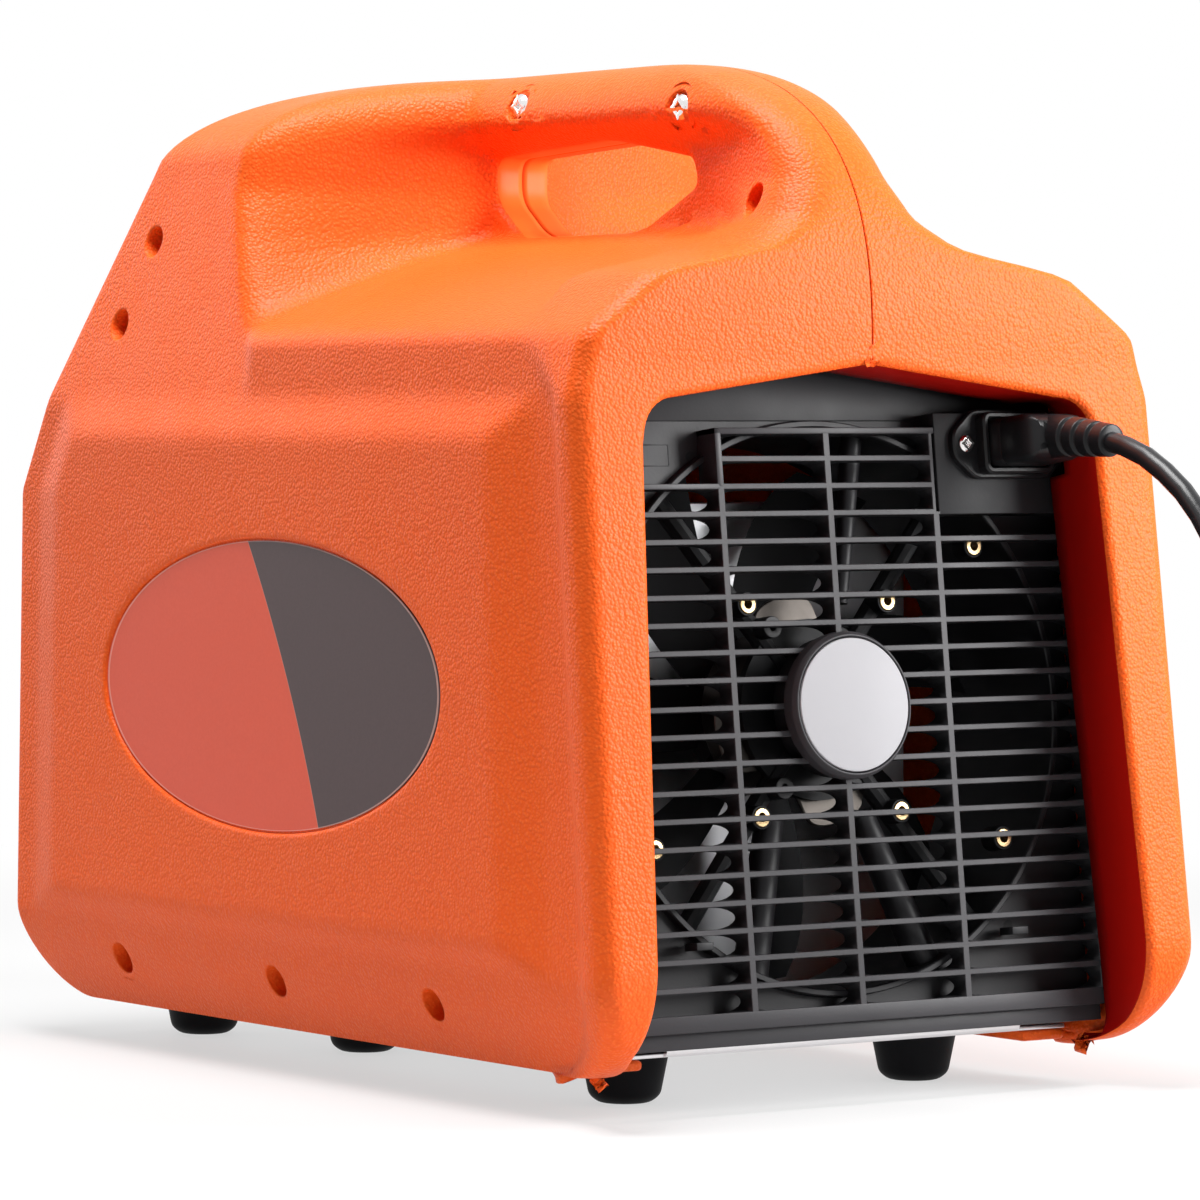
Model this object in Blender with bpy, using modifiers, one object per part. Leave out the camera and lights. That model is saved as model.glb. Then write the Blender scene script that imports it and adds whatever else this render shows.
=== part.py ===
"""Refrigerant recovery machine: a portable pump unit in a two-piece moulded case.

The frame is in metres, +Z up, with the origin on the floor under the middle of the case.
+Y is the rear (grille, fan, mains inlet), -Y is the operator's side (gauges, valves, ports),
+X is the side that carries the oval label.
"""
import math

import bmesh
import bpy
import numpy as np
from mathutils import Matrix, Vector

# Driving sizes of the case
LENGTH = 0.400
WIDTH = 0.250
HEIGHT = 0.355
# Shares by which the sizes below follow the three driving sizes
LONG = LENGTH / 0.400
WIDE = WIDTH / 0.250
TALL = HEIGHT / 0.355
ROUND = min(WIDE, TALL)

GAP = 0.0003
SEAM_GAP = 0.0004
SHELL_WALL = 0.003
SHELL_BOTTOM = 0.015 * TALL
REAR_LEAN = 0.115 * LONG / TALL
FRONT_CORNER = 0.035
REAR_CORNER = 0.040
SLANT_START = 0.204 * TALL
SLANT = 0.56 * LONG / TALL
TOP_ROUND = 0.029 * TALL
TOP_FRONT_LENGTH = 0.071 * LONG
REAR_ROUND_HEIGHT = 0.106 * TALL
REAR_ROUND_LENGTH = 0.134 * LONG

# Side of the case
SIDE_DRAFT = 0.018
PANEL_RAISE = 0.005
PANEL_BOTTOM = 0.047 * TALL
PANEL_TOP = 0.238 * TALL
PANEL_TOP_CHAMFER = 0.016
PANEL_BOTTOM_CHAMFER = 0.009
PANEL_FRONT_MARGIN = 0.006
PANEL_FRONT_CHAMFER = 0.014
PANEL_REAR_MARGIN = 0.040
PANEL_REAR_CHAMFER = 0.023
BAND_RAISE = 0.0045
BAND_WIDTH = 0.012
BAND_STEP = 0.009
BOTTOM_TUCK = 0.014
SHOULDER = 0.259 * TALL
SHOULDER_HALF_WIDTH = 0.112 * WIDE
CORNER_RADIUS = 0.007
PILLAR_RADIUS = 0.016

# Handle and its hand hole
WEB = 0.013
BAR_SWELL = 0.010
BAR_CENTRE = 0.336 * TALL
HOLE_BOTTOM = 0.296 * TALL
HOLE_TOP = 0.329 * TALL
HOLE_FRONT = -0.038 * LONG
HOLE_REAR = 0.088 * LONG
HOLE_CORNER = 0.005 * TALL
HOOD_END = -0.075 * LONG
HOOD_LEAN = 0.0195 * WIDE
COLLAR = 0.003

# Rear opening
OPENING_HALF_WIDTH = 0.0985 * WIDE
OPENING_DRAFT = 0.045
OPENING_PEAK = 0.249 * TALL
OPENING_FALL = 0.011
OPENING_CORNER = 0.0135
RECESS_WALL = 0.0025
RECESS_FOOT = 0.006

# Base, feet
FOOT_HEIGHT = 0.0192
FOOT_TOP_RADIUS = 0.0155
FOOT_BOTTOM_RADIUS = 0.0122
FOOT_ROUND = 0.003
FOOT_SPREAD = {"rear": (0.0615 * WIDE, 0.116 * LONG),
               "middle": (0.048 * WIDE, -0.070 * LONG),
               "front": (0.064 * WIDE, -0.158 * LONG)}
BASE_THICKNESS = 0.0015
BASE_HALF_WIDTH = 0.096 * WIDE
BASE_FRONT = 0.0235 - LENGTH / 2
BASE_REAR = LENGTH / 2 - 0.0405
LIP_HALF_WIDTH = 0.0745 * WIDE
LIP_HEIGHT = 0.0065

# Rear grille, fan and shroud, in the leaning rear plane
GRILLE_RECESS = 0.0290 * LONG
HUB_HEIGHT = 0.134 * TALL
BAR_COUNT = 22
BAR_PITCH = 0.00928 * TALL
BAR_FIRST = 0.0934 * TALL
BAR_THICKNESS = 0.0020
RIB_SPACING = 0.045 * WIDE
RIB_THICKNESS = 0.0022
GRILLE_THICKNESS = 0.004
GRILLE_HALF_WIDTH = 0.109 * WIDE
GRILLE_TOP = 0.1175 * TALL
GRILLE_WALL = 0.003
SLOT_EDGE = 0.097 * WIDE
HUB_RADIUS = 0.025
HUB_PROUD = 0.006
DISC_RADIUS = 0.0226
DISC_THICKNESS = 0.004
SHROUD_DEPTH = 0.016 * LONG
SHROUD_THICKNESS = 0.003
DUCT_RADIUS = 0.0955 * ROUND
DUCT_LIP = 0.0055
DUCT_WALL = 0.003
DUCT_LENGTH = 0.049 * LONG
ARM_WIDTH = 0.014
ARM_DISC_RADIUS = 0.031
POST_RADIUS = 0.0052
INSERT_RADIUS = 0.0038
INSERT_BORE = 0.0019
INSERT_LENGTH = 0.005
INNER_POST = (0.0295, 0.036)
FAN_MOTOR_RADIUS = 0.029
FAN_MOTOR_LENGTH = 0.024 * LONG
FAN_HUB_RADIUS = 0.022
FAN_TIP_RADIUS = 0.0905 * ROUND
FAN_DEPTH = 0.018 * LONG
FAN_BLADES = 7
BLADE_PITCH = 32.0
BLADE_CHORD = 0.026
BLADE_THICKNESS = 0.002
SHAFT_RADIUS = 0.003

# Mains inlet, plug and cord
INLET_X = -0.077 * WIDE
INLET_UP = 0.0885 * TALL
INLET_HALF_WIDTH = 0.0250
INLET_HALF_HEIGHT = 0.0120
INLET_EAR = 0.0040
INLET_FLANGE = 0.003
INLET_BODY = (0.0150, 0.0107)
INLET_BODY_DEPTH = 0.010
INLET_COLLAR = 0.008
INLET_SCREW_SPACING = 0.040
INLET_SCREW_RADIUS = 0.0030
PLUG_BODY = (0.0125, 0.0083)
PLUG_BODY_LENGTH = 0.031
RELIEF_LENGTH = 0.027
RELIEF_DROP = 0.0051
RELIEF_RADIUS = 0.0072
RELIEF_END_RADIUS = 0.0056
CORD_DIAMETER = 0.0072
CORD_SINK = 0.0001
CORD_SPACING = 0.018
COIL_CENTRE = (-0.135, 0.290)
COIL_RADIUS = 0.0396
COIL_LANES = 3
COIL_LAYERS = 2
COIL_MEETS_AT = 50.0
CORD_ROUTE = ((-0.0770, 0.2175, 0.2203), (-0.0772, 0.2310, 0.2140), (-0.0774, 0.2435, 0.2055),
              (-0.0776, 0.2545, 0.1940), (-0.0778, 0.2640, 0.1790), (-0.0780, 0.2705, 0.1600),
              (-0.0782, 0.2740, 0.1370), (-0.0784, 0.2755, 0.1120), (-0.0786, 0.2765, 0.0860),
              (-0.0788, 0.2785, 0.0600), (-0.0790, 0.2830, 0.0360), (-0.0791, 0.2920, 0.0170),
              (-0.0792, 0.3040, 0.0070), (-0.0810, 0.3170, 0.0037))
TIE_WIDTH = 0.008
TIE_THICKNESS = 0.0012
PLUG_BODY_RADIUS = 0.0185
MAINS_PLUG_LENGTH = 0.036
MAINS_PLUG_TURN = 20.0
PIN_LENGTH = 0.019
PIN_RADIUS = 0.0024
PIN_SPACING = 0.019

# Front panel and its instruments
FRONT_RECESS = 0.028
PANEL_THICKNESS = 0.003
PANEL_SIDE_GAP = 0.0012
GAUGE_SPREAD = 0.043 * WIDE
GAUGE_CENTRE = 0.268 * TALL
GAUGE_RADIUS = 0.031 * ROUND
GAUGE_DEPTH = 0.022
GAUGE_RIM = 0.005
GAUGE_GLASS = 0.002
NEEDLE_LENGTH = 0.021 * ROUND
VALVE_SPREAD = 0.052 * WIDE
VALVE_HEIGHT = 0.165 * TALL
KNOB_RADIUS = 0.017
KNOB_LENGTH = 0.018
SELECTOR_RADIUS = 0.020
STEM_RADIUS = 0.004
PORT_HEIGHT = 0.105 * TALL
PORT_RADIUS = 0.0062
PORT_LENGTH = 0.016
PORT_HEX = 0.0095
SWITCH_CENTRE = (-0.030 * WIDE, 0.058 * TALL)
SWITCH_HALF = (0.0105, 0.014)
SWITCH_TILT = 16.0
BREAKER_CENTRE = (0.030 * WIDE, 0.058 * TALL)
BREAKER_TRAVEL = 0.003
BREAKER_RADIUS = 0.0055

# Compressor, condenser and what joins them
PUMP_HEIGHT = 0.095 * TALL
PUMP_Y = -0.010 * LONG
CRANKCASE = (0.035 * WIDE, 0.030 * LONG, 0.034 * TALL)
PUMP_FOOT_INSET = 0.006
CYLINDER_RADIUS = 0.026
CYLINDER_LENGTH = 0.036 * WIDE
FIN_COUNT = 4
HEAD_RADIUS = 0.028
HEAD_THICKNESS = 0.014
MOTOR_RADIUS = 0.042 * ROUND
MOTOR_LENGTH = 0.078 * LONG
CRANK_RADIUS = 0.008
FLYWHEEL_RADIUS = 0.030
FLYWHEEL_THICKNESS = 0.008
CONDENSER = (0.086 * WIDE, 0.018 * LONG, 0.180 * TALL)
CONDENSER_REAR = 0.078 * LONG
MANIFOLD = (0.082 * WIDE, 0.015 * LONG, 0.048 * TALL)
PIPE_RADIUS = 0.0032

# Case screws and the label
SCREW_HEAD_RADIUS = 0.0046
SCREW_HEAD = 0.003
SCREW_SHANK = 0.0020
SCREW_SHANK_LENGTH = 0.006
RECESS_RADIUS = 0.0060
BOSS_WALL = 0.0025
CASE_SCREWS = (
    ("case_screw_bottom_front", -0.130 * LONG, 0.0330 * TALL, 0.016),
    ("case_screw_bottom_middle", -0.022 * LONG, 0.0330 * TALL, 0.016),
    ("case_screw_bottom_rear", 0.080 * LONG, 0.0330 * TALL, 0.016),
    ("case_screw_hood_lower", -0.140 * LONG, 0.2655 * TALL, 0.016),
    ("case_screw_hood_upper", -0.127 * LONG, 0.2957 * TALL, 0.016),
    ("handle_screw_front", -0.0096 * LONG, 0.3425 * TALL, 0.0035),
    ("handle_screw_rear", 0.0913 * LONG, 0.3380 * TALL, 0.0035),
)
LABEL_CENTRE = (-0.0165 * LONG, 0.1375 * TALL)
LABEL_HALF = (0.1125 * LONG, 0.0515 * TALL)
LABEL_DEPTH = 0.0016
LABEL_THICKNESS = 0.0008

SHELL_ROWS = tuple(TALL * z for z in (
    0.015, 0.030, 0.047, 0.056, 0.100, 0.150, 0.190, 0.222, 0.238, 0.250, 0.259,
    0.268, 0.277, 0.286, 0.2915, 0.2964, 0.304, 0.318, 0.3305, 0.3385, 0.346, 0.352))
COLUMN_STEPS = ((0.0, 0.038, 0.128, 0.5), (0.0, 0.25, 0.5, 0.75), (0.0, 0.5), (0.0, 0.33, 0.67),
                (0.0, 0.43, 0.67, 0.85, 0.95, 1.0))
LINE_ROOM = 0.0095
REAR_FACE_COLUMNS = (0.85, 0.6, 0.3, 0.0)

REAR_Y = LENGTH / 2
FRONT_Y = -LENGTH / 2
BASE_TOP = FOOT_HEIGHT + GAP + BASE_THICKNESS
LEAN_ANGLE = math.atan(REAR_LEAN)
SLANT_ANGLE = math.atan(SLANT)


def fresh_scene():
    for item in list(bpy.data.objects):
        bpy.data.objects.remove(item, do_unlink=True)
    for name in ("refrigerant_recovery_machine", "cutters"):
        if name not in bpy.data.collections:
            collection = bpy.data.collections.new(name)
            bpy.context.scene.collection.children.link(collection)
    return bpy.data.collections["refrigerant_recovery_machine"], bpy.data.collections["cutters"]


PARTS, CUTTERS = fresh_scene()


def finish(name, colour, roughness, metallic=0.0):
    material = bpy.data.materials.new(name)
    material.use_nodes = True
    shader = material.node_tree.nodes["Principled BSDF"]
    shader.inputs["Base Color"].default_value = (*colour, 1.0)
    shader.inputs["Roughness"].default_value = roughness
    shader.inputs["Metallic"].default_value = metallic
    material.diffuse_color = (*colour, 1.0)
    return material


ORANGE = (0.86, 0.15, 0.035)
CHARCOAL = (0.065, 0.062, 0.070)
BLACK = (0.012, 0.012, 0.013)
STEEL = (0.62, 0.60, 0.61)
BRASS = (0.80, 0.55, 0.25)
COPPER = (0.75, 0.36, 0.22)
ALUMINIUM = (0.70, 0.70, 0.71)


# Shapes added to a bmesh

def add_box(bm, low, high):
    size = [b - a for a, b in zip(low, high)]
    middle = [(a + b) / 2 for a, b in zip(low, high)]
    matrix = Matrix.Translation(middle) @ Matrix.Diagonal((*size, 1.0))
    bmesh.ops.create_cube(bm, size=1.0, matrix=matrix)


def add_rod(bm, start, end, radius, sides=20, end_radius=None):
    start = Vector(start)
    end = Vector(end)
    turn = (end - start).to_track_quat("Z", "Y").to_matrix().to_4x4()
    matrix = Matrix.Translation((start + end) / 2) @ turn
    last = radius if end_radius is None else end_radius
    bmesh.ops.create_cone(bm, cap_ends=True, segments=sides, radius1=radius, radius2=last,
                          depth=(end - start).length, matrix=matrix)


def add_prism(bm, outline, low, high, axis):
    """A flat outline carried from low to high along the named axis."""
    def place(a, b, level):
        if axis == "X":
            return (level, a, b)
        if axis == "Y":
            return (a, level, b)
        return (a, b, level)
    bottom = [bm.verts.new(place(a, b, low)) for a, b in outline]
    face = bm.faces.new(bottom)
    grown = bmesh.ops.extrude_face_region(bm, geom=[face])
    moved = [v for v in grown["geom"] if isinstance(v, bmesh.types.BMVert)]
    shift = Vector(place(0.0, 0.0, high - low))
    bmesh.ops.translate(bm, verts=moved, vec=shift)
    bm.normal_update()
    side = [f for f in bm.faces if any(v in bottom or v in moved for v in f.verts)]
    bmesh.ops.recalc_face_normals(bm, faces=side)


def rounded_outline(corners, radius, steps=3):
    """The outline with each corner replaced by an arc of the given radius."""
    points = []
    count = len(corners)
    for i in range(count):
        here = Vector(corners[i])
        before = (Vector(corners[i - 1]) - here).normalized()
        after = (Vector(corners[(i + 1) % count]) - here).normalized()
        half = before.angle(after) / 2
        reach = radius / math.tan(half)
        centre = here + (before + after).normalized() * radius / math.sin(half)
        first = here + before * reach - centre
        last = here + after * reach - centre
        for k in range(steps + 1):
            arm = first.lerp(last, k / steps).normalized() * radius
            points.append(tuple(centre + arm))
    return points


def ellipse_outline(centre, half, steps=40):
    turn = 2 * math.pi / steps
    return [(centre[0] + half[0] * math.cos(i * turn), centre[1] + half[1] * math.sin(i * turn))
            for i in range(steps)]


# Objects

def put(name, bm, material, parent=None, smooth=None, collection=None):
    mesh = bpy.data.meshes.new(name)
    bm.to_mesh(mesh)
    bm.free()
    item = bpy.data.objects.new(name, mesh)
    (collection or PARTS).objects.link(item)
    if material:
        mesh.materials.append(material)
    if parent:
        item.parent = parent
    if smooth:
        mesh.shade_smooth()
        mesh.set_sharp_from_angle(angle=math.radians(smooth))
    return item


def cutter(name, bm, parent=None):
    item = put(name, bm, None, parent, collection=CUTTERS)
    item.hide_render = True
    item.display_type = "WIRE"
    return item


def combine(item, other, operation):
    step = item.modifiers.new(other.name, "BOOLEAN")
    step.operation = operation
    step.solver = "EXACT"
    step.object = other
    return step


def turned(name, profile, material, parent=None, place=None, steps=24):
    """A profile of (radius, height) points, top to bottom, spun about its own Z axis."""
    bm = bmesh.new()
    ring = [bm.verts.new((radius, 0.0, height)) for radius, height in profile]
    for a, b in zip(ring, ring[1:]):
        bm.edges.new((a, b))
    item = put(name, bm, material, parent)
    screw = item.modifiers.new("turn", "SCREW")
    screw.axis = "Z"
    screw.steps = steps
    screw.render_steps = steps
    screw.use_merge_vertices = True
    screw.merge_threshold = 0.00001
    screw.use_smooth_shade = True
    if place is not None:
        item.matrix_basis = place
    return item


def facing(x, y, z, axis):
    """The placing that stands an object's own Z along the given direction."""
    turn = Vector(axis).to_track_quat("Z", "Y").to_matrix().to_4x4()
    return Matrix.Translation((x, y, z)) @ turn


def tube(name, points, radius, material, resolution=2):
    curve = bpy.data.curves.new(name, "CURVE")
    curve.dimensions = "3D"
    curve.bevel_depth = radius
    curve.bevel_resolution = resolution
    curve.use_fill_caps = True
    spline = curve.splines.new("POLY")
    spline.points.add(len(points) - 1)
    for point, place in zip(spline.points, points):
        point.co = (*place, 1.0)
    curve.materials.append(material)
    item = bpy.data.objects.new(name, curve)
    PARTS.objects.link(item)
    return item


def smooth_route(route, spacing):
    """Evenly spaced points on a smooth curve through the route's own points."""
    ends = [np.array(p, float) for p in route]
    padded = [2 * ends[0] - ends[1], *ends, 2 * ends[-1] - ends[-2]]
    dense = []
    for a, b, c, d in zip(padded, padded[1:], padded[2:], padded[3:]):
        for t in np.linspace(0.0, 1.0, 24, endpoint=False):
            dense.append(0.5 * (2 * b + (c - a) * t + (2 * a - 5 * b + 4 * c - d) * t ** 2
                                + (3 * b - a - 3 * c + d) * t ** 3))
    dense.append(ends[-1])
    dense = np.array(dense)
    run = np.concatenate([[0.0], np.cumsum(np.linalg.norm(np.diff(dense, axis=0), axis=1))])
    count = max(3, round(run[-1] / spacing))
    marks = np.linspace(0.0, run[-1], count + 1)
    return np.stack([np.interp(marks, run, dense[:, k]) for k in range(3)], axis=1)


def empty(name, place):
    item = bpy.data.objects.new(name, None)
    item.matrix_basis = place
    PARTS.objects.link(item)
    return item


# Form of the case, worked out from the side view

def ease(t):
    t = np.clip(t, 0.0, 1.0)
    return t * t * (3 - 2 * t)


def front_edge(z):
    """Y of the case's front edge: upright, then slanted back, then rounded into the top."""
    z = np.asarray(z, float)
    low = SHELL_BOTTOM + FRONT_CORNER
    drop = np.clip(low - z, 0.0, FRONT_CORNER)
    foot = FRONT_CORNER - np.sqrt(np.maximum(FRONT_CORNER ** 2 - drop ** 2, 0.0))
    slant = SLANT * np.maximum(z - SLANT_START, 0.0)
    bend = HEIGHT - TOP_ROUND
    start = FRONT_Y + SLANT * (bend - SLANT_START)
    rise = np.clip((HEIGHT - z) / TOP_ROUND, 0.0, 1.0)
    top = start + TOP_FRONT_LENGTH * (1 - rise ** (1 / 3.0))
    return np.where(z > bend, top, FRONT_Y + foot + slant)


def rear_edge(z):
    """Y of the case's rear face: leaning plane with a rounded foot and a rounded top."""
    z = np.asarray(z, float)
    plane = REAR_Y - REAR_LEAN * (z - SHELL_BOTTOM)
    low = SHELL_BOTTOM + REAR_CORNER
    drop = np.clip(low - z, 0.0, REAR_CORNER)
    foot = REAR_CORNER - np.sqrt(np.maximum(REAR_CORNER ** 2 - drop ** 2, 0.0))
    bend = HEIGHT - REAR_ROUND_HEIGHT
    top_plane = REAR_Y - REAR_LEAN * (bend - SHELL_BOTTOM)
    rise = np.clip((z - bend) / REAR_ROUND_HEIGHT, 0.0, 1.0)
    reach = (1 - rise ** 2.75) ** (1 / 2.75)
    top = top_plane - REAR_ROUND_LENGTH * (1 - reach)
    return np.where(z > bend, top, plane - foot)


def valley_width(z):
    side = WIDTH / 2 - PANEL_RAISE - SIDE_DRAFT * (z - PANEL_BOTTOM)
    tuck = BOTTOM_TUCK * np.clip((PANEL_BOTTOM - z) / (PANEL_BOTTOM - SHELL_BOTTOM), 0, 1) ** 1.3
    return side - tuck


def dome(z, half_width, start):
    """The half width rounded in to nothing at the top of the case."""
    rise = np.clip((z - start) / (HEIGHT - start), 0.0, 1.0)
    return half_width * np.sqrt(1 - rise ** 2)


def middle_width(z):
    """Half width between the hood and the rear pillar: side, shoulder, web and grip bar."""
    top = valley_width(PANEL_TOP)
    side = valley_width(np.minimum(z, PANEL_TOP))
    chamfer = top + (SHOULDER_HALF_WIDTH - top) * (z - PANEL_TOP) / (SHOULDER - PANEL_TOP)
    rise = np.clip((z - SHOULDER) / (HOLE_BOTTOM - SHOULDER), 0.0, 1.0)
    floor = WEB + (SHOULDER_HALF_WIDTH - WEB) * (1 - rise ** 1.3)
    swell = WEB + BAR_SWELL * ease((z - HOLE_TOP + 0.004) / 0.012)
    bar = dome(z, swell, BAR_CENTRE)
    width = np.where(z > PANEL_TOP, chamfer, side)
    width = np.where(z > SHOULDER, floor, width)
    return np.where(z > HOLE_BOTTOM, bar, width)


def hood_width(z):
    top = valley_width(PANEL_TOP)
    start = HEIGHT - TOP_ROUND - 0.004
    lean = top - HOOD_LEAN * np.clip((z - PANEL_TOP) / (start - PANEL_TOP), 0.0, 1.0)
    return np.where(z > PANEL_TOP, dome(z, lean, start), valley_width(z))


def pillar_width(z):
    top = valley_width(PANEL_TOP) + BAND_RAISE
    heights = (0.280, 0.288, 0.298, 0.312)
    widths = (0.0895, 0.046, 0.030, 0.0225)
    column = 0.020 * WIDE
    heights = (PANEL_TOP, SHOULDER, *(TALL * h for h in heights), BAR_CENTRE, HEIGHT)
    widths = (top, SHOULDER_HALF_WIDTH, *(WIDE * w for w in widths), column, column)
    return dome(z, np.interp(z, heights, widths), BAR_CENTRE)


def hood_line(z):
    return np.interp(z / TALL, (0.250, 0.313), (-0.044 * LONG, HOOD_END))


def pocket_line(z):
    places = (0.132 * LONG, 0.108 * LONG, 0.100 * LONG, HOLE_REAR)
    return np.interp(z / TALL, (0.257, 0.277, 0.290, 0.310), places)


def ridge_line(z):
    return LONG * np.interp(z / TALL, (0.257, 0.277, 0.285, 0.292, 0.322, 0.332, 0.345),
                            (0.146, 0.127, 0.1425, 0.150, 0.156, 0.146, 0.121))


def panel_rear_line(z):
    return REAR_Y - PANEL_REAR_MARGIN - 0.072 * z


def half_width(y, z):
    """Half width of the case at a point of the side view."""
    y, z = np.broadcast_arrays(np.asarray(y, float), np.asarray(z, float))
    front = front_edge(z)
    rear = rear_edge(z)
    inset = np.minimum.reduce([
        (PANEL_TOP - z) / PANEL_TOP_CHAMFER,
        (z - PANEL_BOTTOM) / PANEL_BOTTOM_CHAMFER,
        (y - front - PANEL_FRONT_MARGIN) / PANEL_FRONT_CHAMFER,
        (panel_rear_line(z) - y) / PANEL_REAR_CHAMFER,
    ])
    raised = PANEL_RAISE * np.clip(inset, 0.0, 1.0)
    band = BAND_RAISE * ease((y - rear + BAND_WIDTH + BAND_STEP) / BAND_STEP)
    lower = valley_width(z) + np.maximum(raised, band)
    hood = ease((HOLE_FRONT - y) / (HOLE_FRONT - hood_line(z)))
    pillar = ease((y - pocket_line(z)) / (ridge_line(z) - pocket_line(z)))
    middle = middle_width(z)
    upper = middle + (hood_width(z) - middle) * hood
    upper = upper + (pillar_width(z) - upper) * pillar
    width = np.where(z > PANEL_TOP, upper, lower)
    corner = np.interp(z, (SHOULDER, 0.300 * TALL), (CORNER_RADIUS, PILLAR_RADIUS))
    near = np.clip(1 - (rear - y) / corner, 0.0, 1.0)
    return width - np.minimum(corner, 0.8 * width) * (1 - np.sqrt(1 - near ** 2))


def column_places(z):
    """Y of each column of the shell: the lines that its form follows, and steps between them."""
    front = front_edge(z)
    rear = rear_edge(z)
    low = z <= PANEL_TOP
    panel = panel_rear_line(z)
    lines = [front, hood_line(z), np.full_like(z, HOLE_FRONT),
             np.where(low, panel - PANEL_REAR_CHAMFER, pocket_line(z)),
             np.where(low, panel, ridge_line(z)), rear]
    last = len(lines) - 1
    lines = [np.clip(line, front + LINE_ROOM * i, rear - LINE_ROOM * (last - i))
             for i, line in enumerate(lines)]
    return np.concatenate([a + (b - a) * np.array(steps)[None, :]
                           for a, b, steps in zip(lines, lines[1:], COLUMN_STEPS)], axis=1)


def shell_points():
    """Rows from the bottom edge up, columns from the front edge round to past the seam."""
    z = np.array(SHELL_ROWS)[:, None]
    y = column_places(z)
    x = half_width(y, z)
    over = np.array(REAR_FACE_COLUMNS)[None, :]
    x = np.concatenate([x, x[:, -1:] * over - SHELL_WALL * (1 - over)], axis=1)
    y = np.concatenate([y, np.repeat(rear_edge(z), over.size, axis=1)], axis=1)
    return np.stack([x, y, np.broadcast_to(z, x.shape)], axis=-1)


def crown_points(y):
    """The top of the side view, carried past the seam, above the columns of the last row."""
    levels = np.linspace(PANEL_TOP, HEIGHT, 80)
    rising = np.interp(y, front_edge(levels), levels, right=HEIGHT)
    falling = np.interp(-y, -rear_edge(levels), levels, right=HEIGHT)
    return np.stack([np.full_like(y, -SHELL_WALL), y, np.minimum(rising, falling)], axis=-1)


def opening_outline():
    """The rear opening, seen from behind: low peak at the seam, open at the bottom."""
    top = OPENING_PEAK - OPENING_FALL
    low = SHELL_BOTTOM - 0.010
    wide = OPENING_HALF_WIDTH + OPENING_DRAFT * (HUB_HEIGHT - low)
    narrow = OPENING_HALF_WIDTH - OPENING_DRAFT * (top - HUB_HEIGHT)
    points = [(wide, low), (narrow, top - OPENING_CORNER)]
    for k in range(1, 5):
        turn = k / 4 * math.pi / 2
        points.append((narrow - OPENING_CORNER * (1 - math.cos(turn)),
                       top - OPENING_CORNER * (1 - math.sin(turn))))
    points.append((0.0, OPENING_PEAK))
    mirrored = [(-x, z) for x, z in reversed(points[:-1])]
    return points + mirrored


def hole_outline(grow=0.0):
    corners = [(HOLE_FRONT - grow, HOLE_TOP - 0.004 + grow), (HOLE_FRONT - grow, 0.310 * TALL),
               (HOLE_FRONT + 0.018, HOLE_BOTTOM - grow), (0.052 * LONG, HOLE_BOTTOM - grow),
               (HOLE_REAR + grow, 0.312 * TALL),
               (HOLE_REAR - 0.003 + grow, HOLE_TOP - 0.008 + grow), (0.037 * LONG, HOLE_TOP + grow)]
    return rounded_outline(corners, HOLE_CORNER, 2)


def recess_wall(side):
    """Wall from the rear face forwards to the grille, round one half of the opening."""
    rounded = SHELL_BOTTOM + REAR_CORNER
    outline = opening_outline()
    (wide, _), (narrow, top) = outline[:2]
    levels = np.linspace(SHELL_BOTTOM + RECESS_FOOT, rounded, 6)
    upright = [(wide + (narrow - wide) * z / top, z) for z in levels]
    peak = outline.index((0.0, OPENING_PEAK))
    past = (-0.010, OPENING_PEAK - 0.010 * OPENING_FALL / narrow)
    run = np.array([*upright, *outline[1:peak + 1], past])
    along = np.gradient(run, axis=0)
    out = np.stack([along[:, 1], -along[:, 0]], axis=-1)
    out /= np.linalg.norm(out, axis=1, keepdims=True)
    bm = bmesh.new()
    rings = []
    for inner, outer in zip(run - out * 0.001, run + out * RECESS_WALL):
        corners = []
        for x, z in (inner, outer):
            face = REAR_Y - REAR_LEAN * (z - SHELL_BOTTOM)
            corners.append((x, face - GRILLE_RECESS + 2 * GAP, z))
            corners.append((x, float(rear_edge(z)) - SHELL_WALL / 2, z))
        order = (0, 1, 3, 2)
        rings.append([bm.verts.new((side * corners[k][0], *corners[k][1:])) for k in order])
    for low, high in zip(rings, rings[1:]):
        for k in range(4):
            bm.faces.new((low[k], low[(k + 1) % 4], high[(k + 1) % 4], high[k]))
    bm.faces.new(rings[0])
    bm.faces.new(rings[-1])
    bmesh.ops.recalc_face_normals(bm, faces=bm.faces[:])
    return bm


def half_shell(name, side, material):
    points = shell_points()
    rows, columns = points.shape[:2]
    crown = crown_points(points[-1, :-len(REAR_FACE_COLUMNS), 1])
    bm = bmesh.new()
    grid = [[bm.verts.new((side * p[0], p[1], p[2])) for p in row] for row in points]
    for r in range(rows - 1):
        for c in range(columns - 1):
            bm.faces.new((grid[r][c], grid[r][c + 1], grid[r + 1][c + 1], grid[r + 1][c]))
    ridge = [bm.verts.new((side * p[0], p[1], p[2])) for p in crown[:-1]]
    top = grid[-1]
    for c in range(len(ridge) - 1):
        bm.faces.new((top[c], top[c + 1], ridge[c + 1], ridge[c]))
    for a, b in zip(top[len(ridge) - 1:], top[len(ridge):]):
        bm.faces.new((a, b, ridge[-1]))
    bm.faces.ensure_lookup_table()
    bm.normal_update()
    if bm.faces[columns].normal.x * side < 0:
        bmesh.ops.reverse_faces(bm, faces=bm.faces[:])
    shell = put(name, bm, material, smooth=40)
    wall = shell.modifiers.new("wall", "SOLIDIFY")
    wall.thickness = SHELL_WALL
    wall.offset = -1
    return shell


def surface_x(y, z):
    return float(half_width(y, z))


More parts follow.
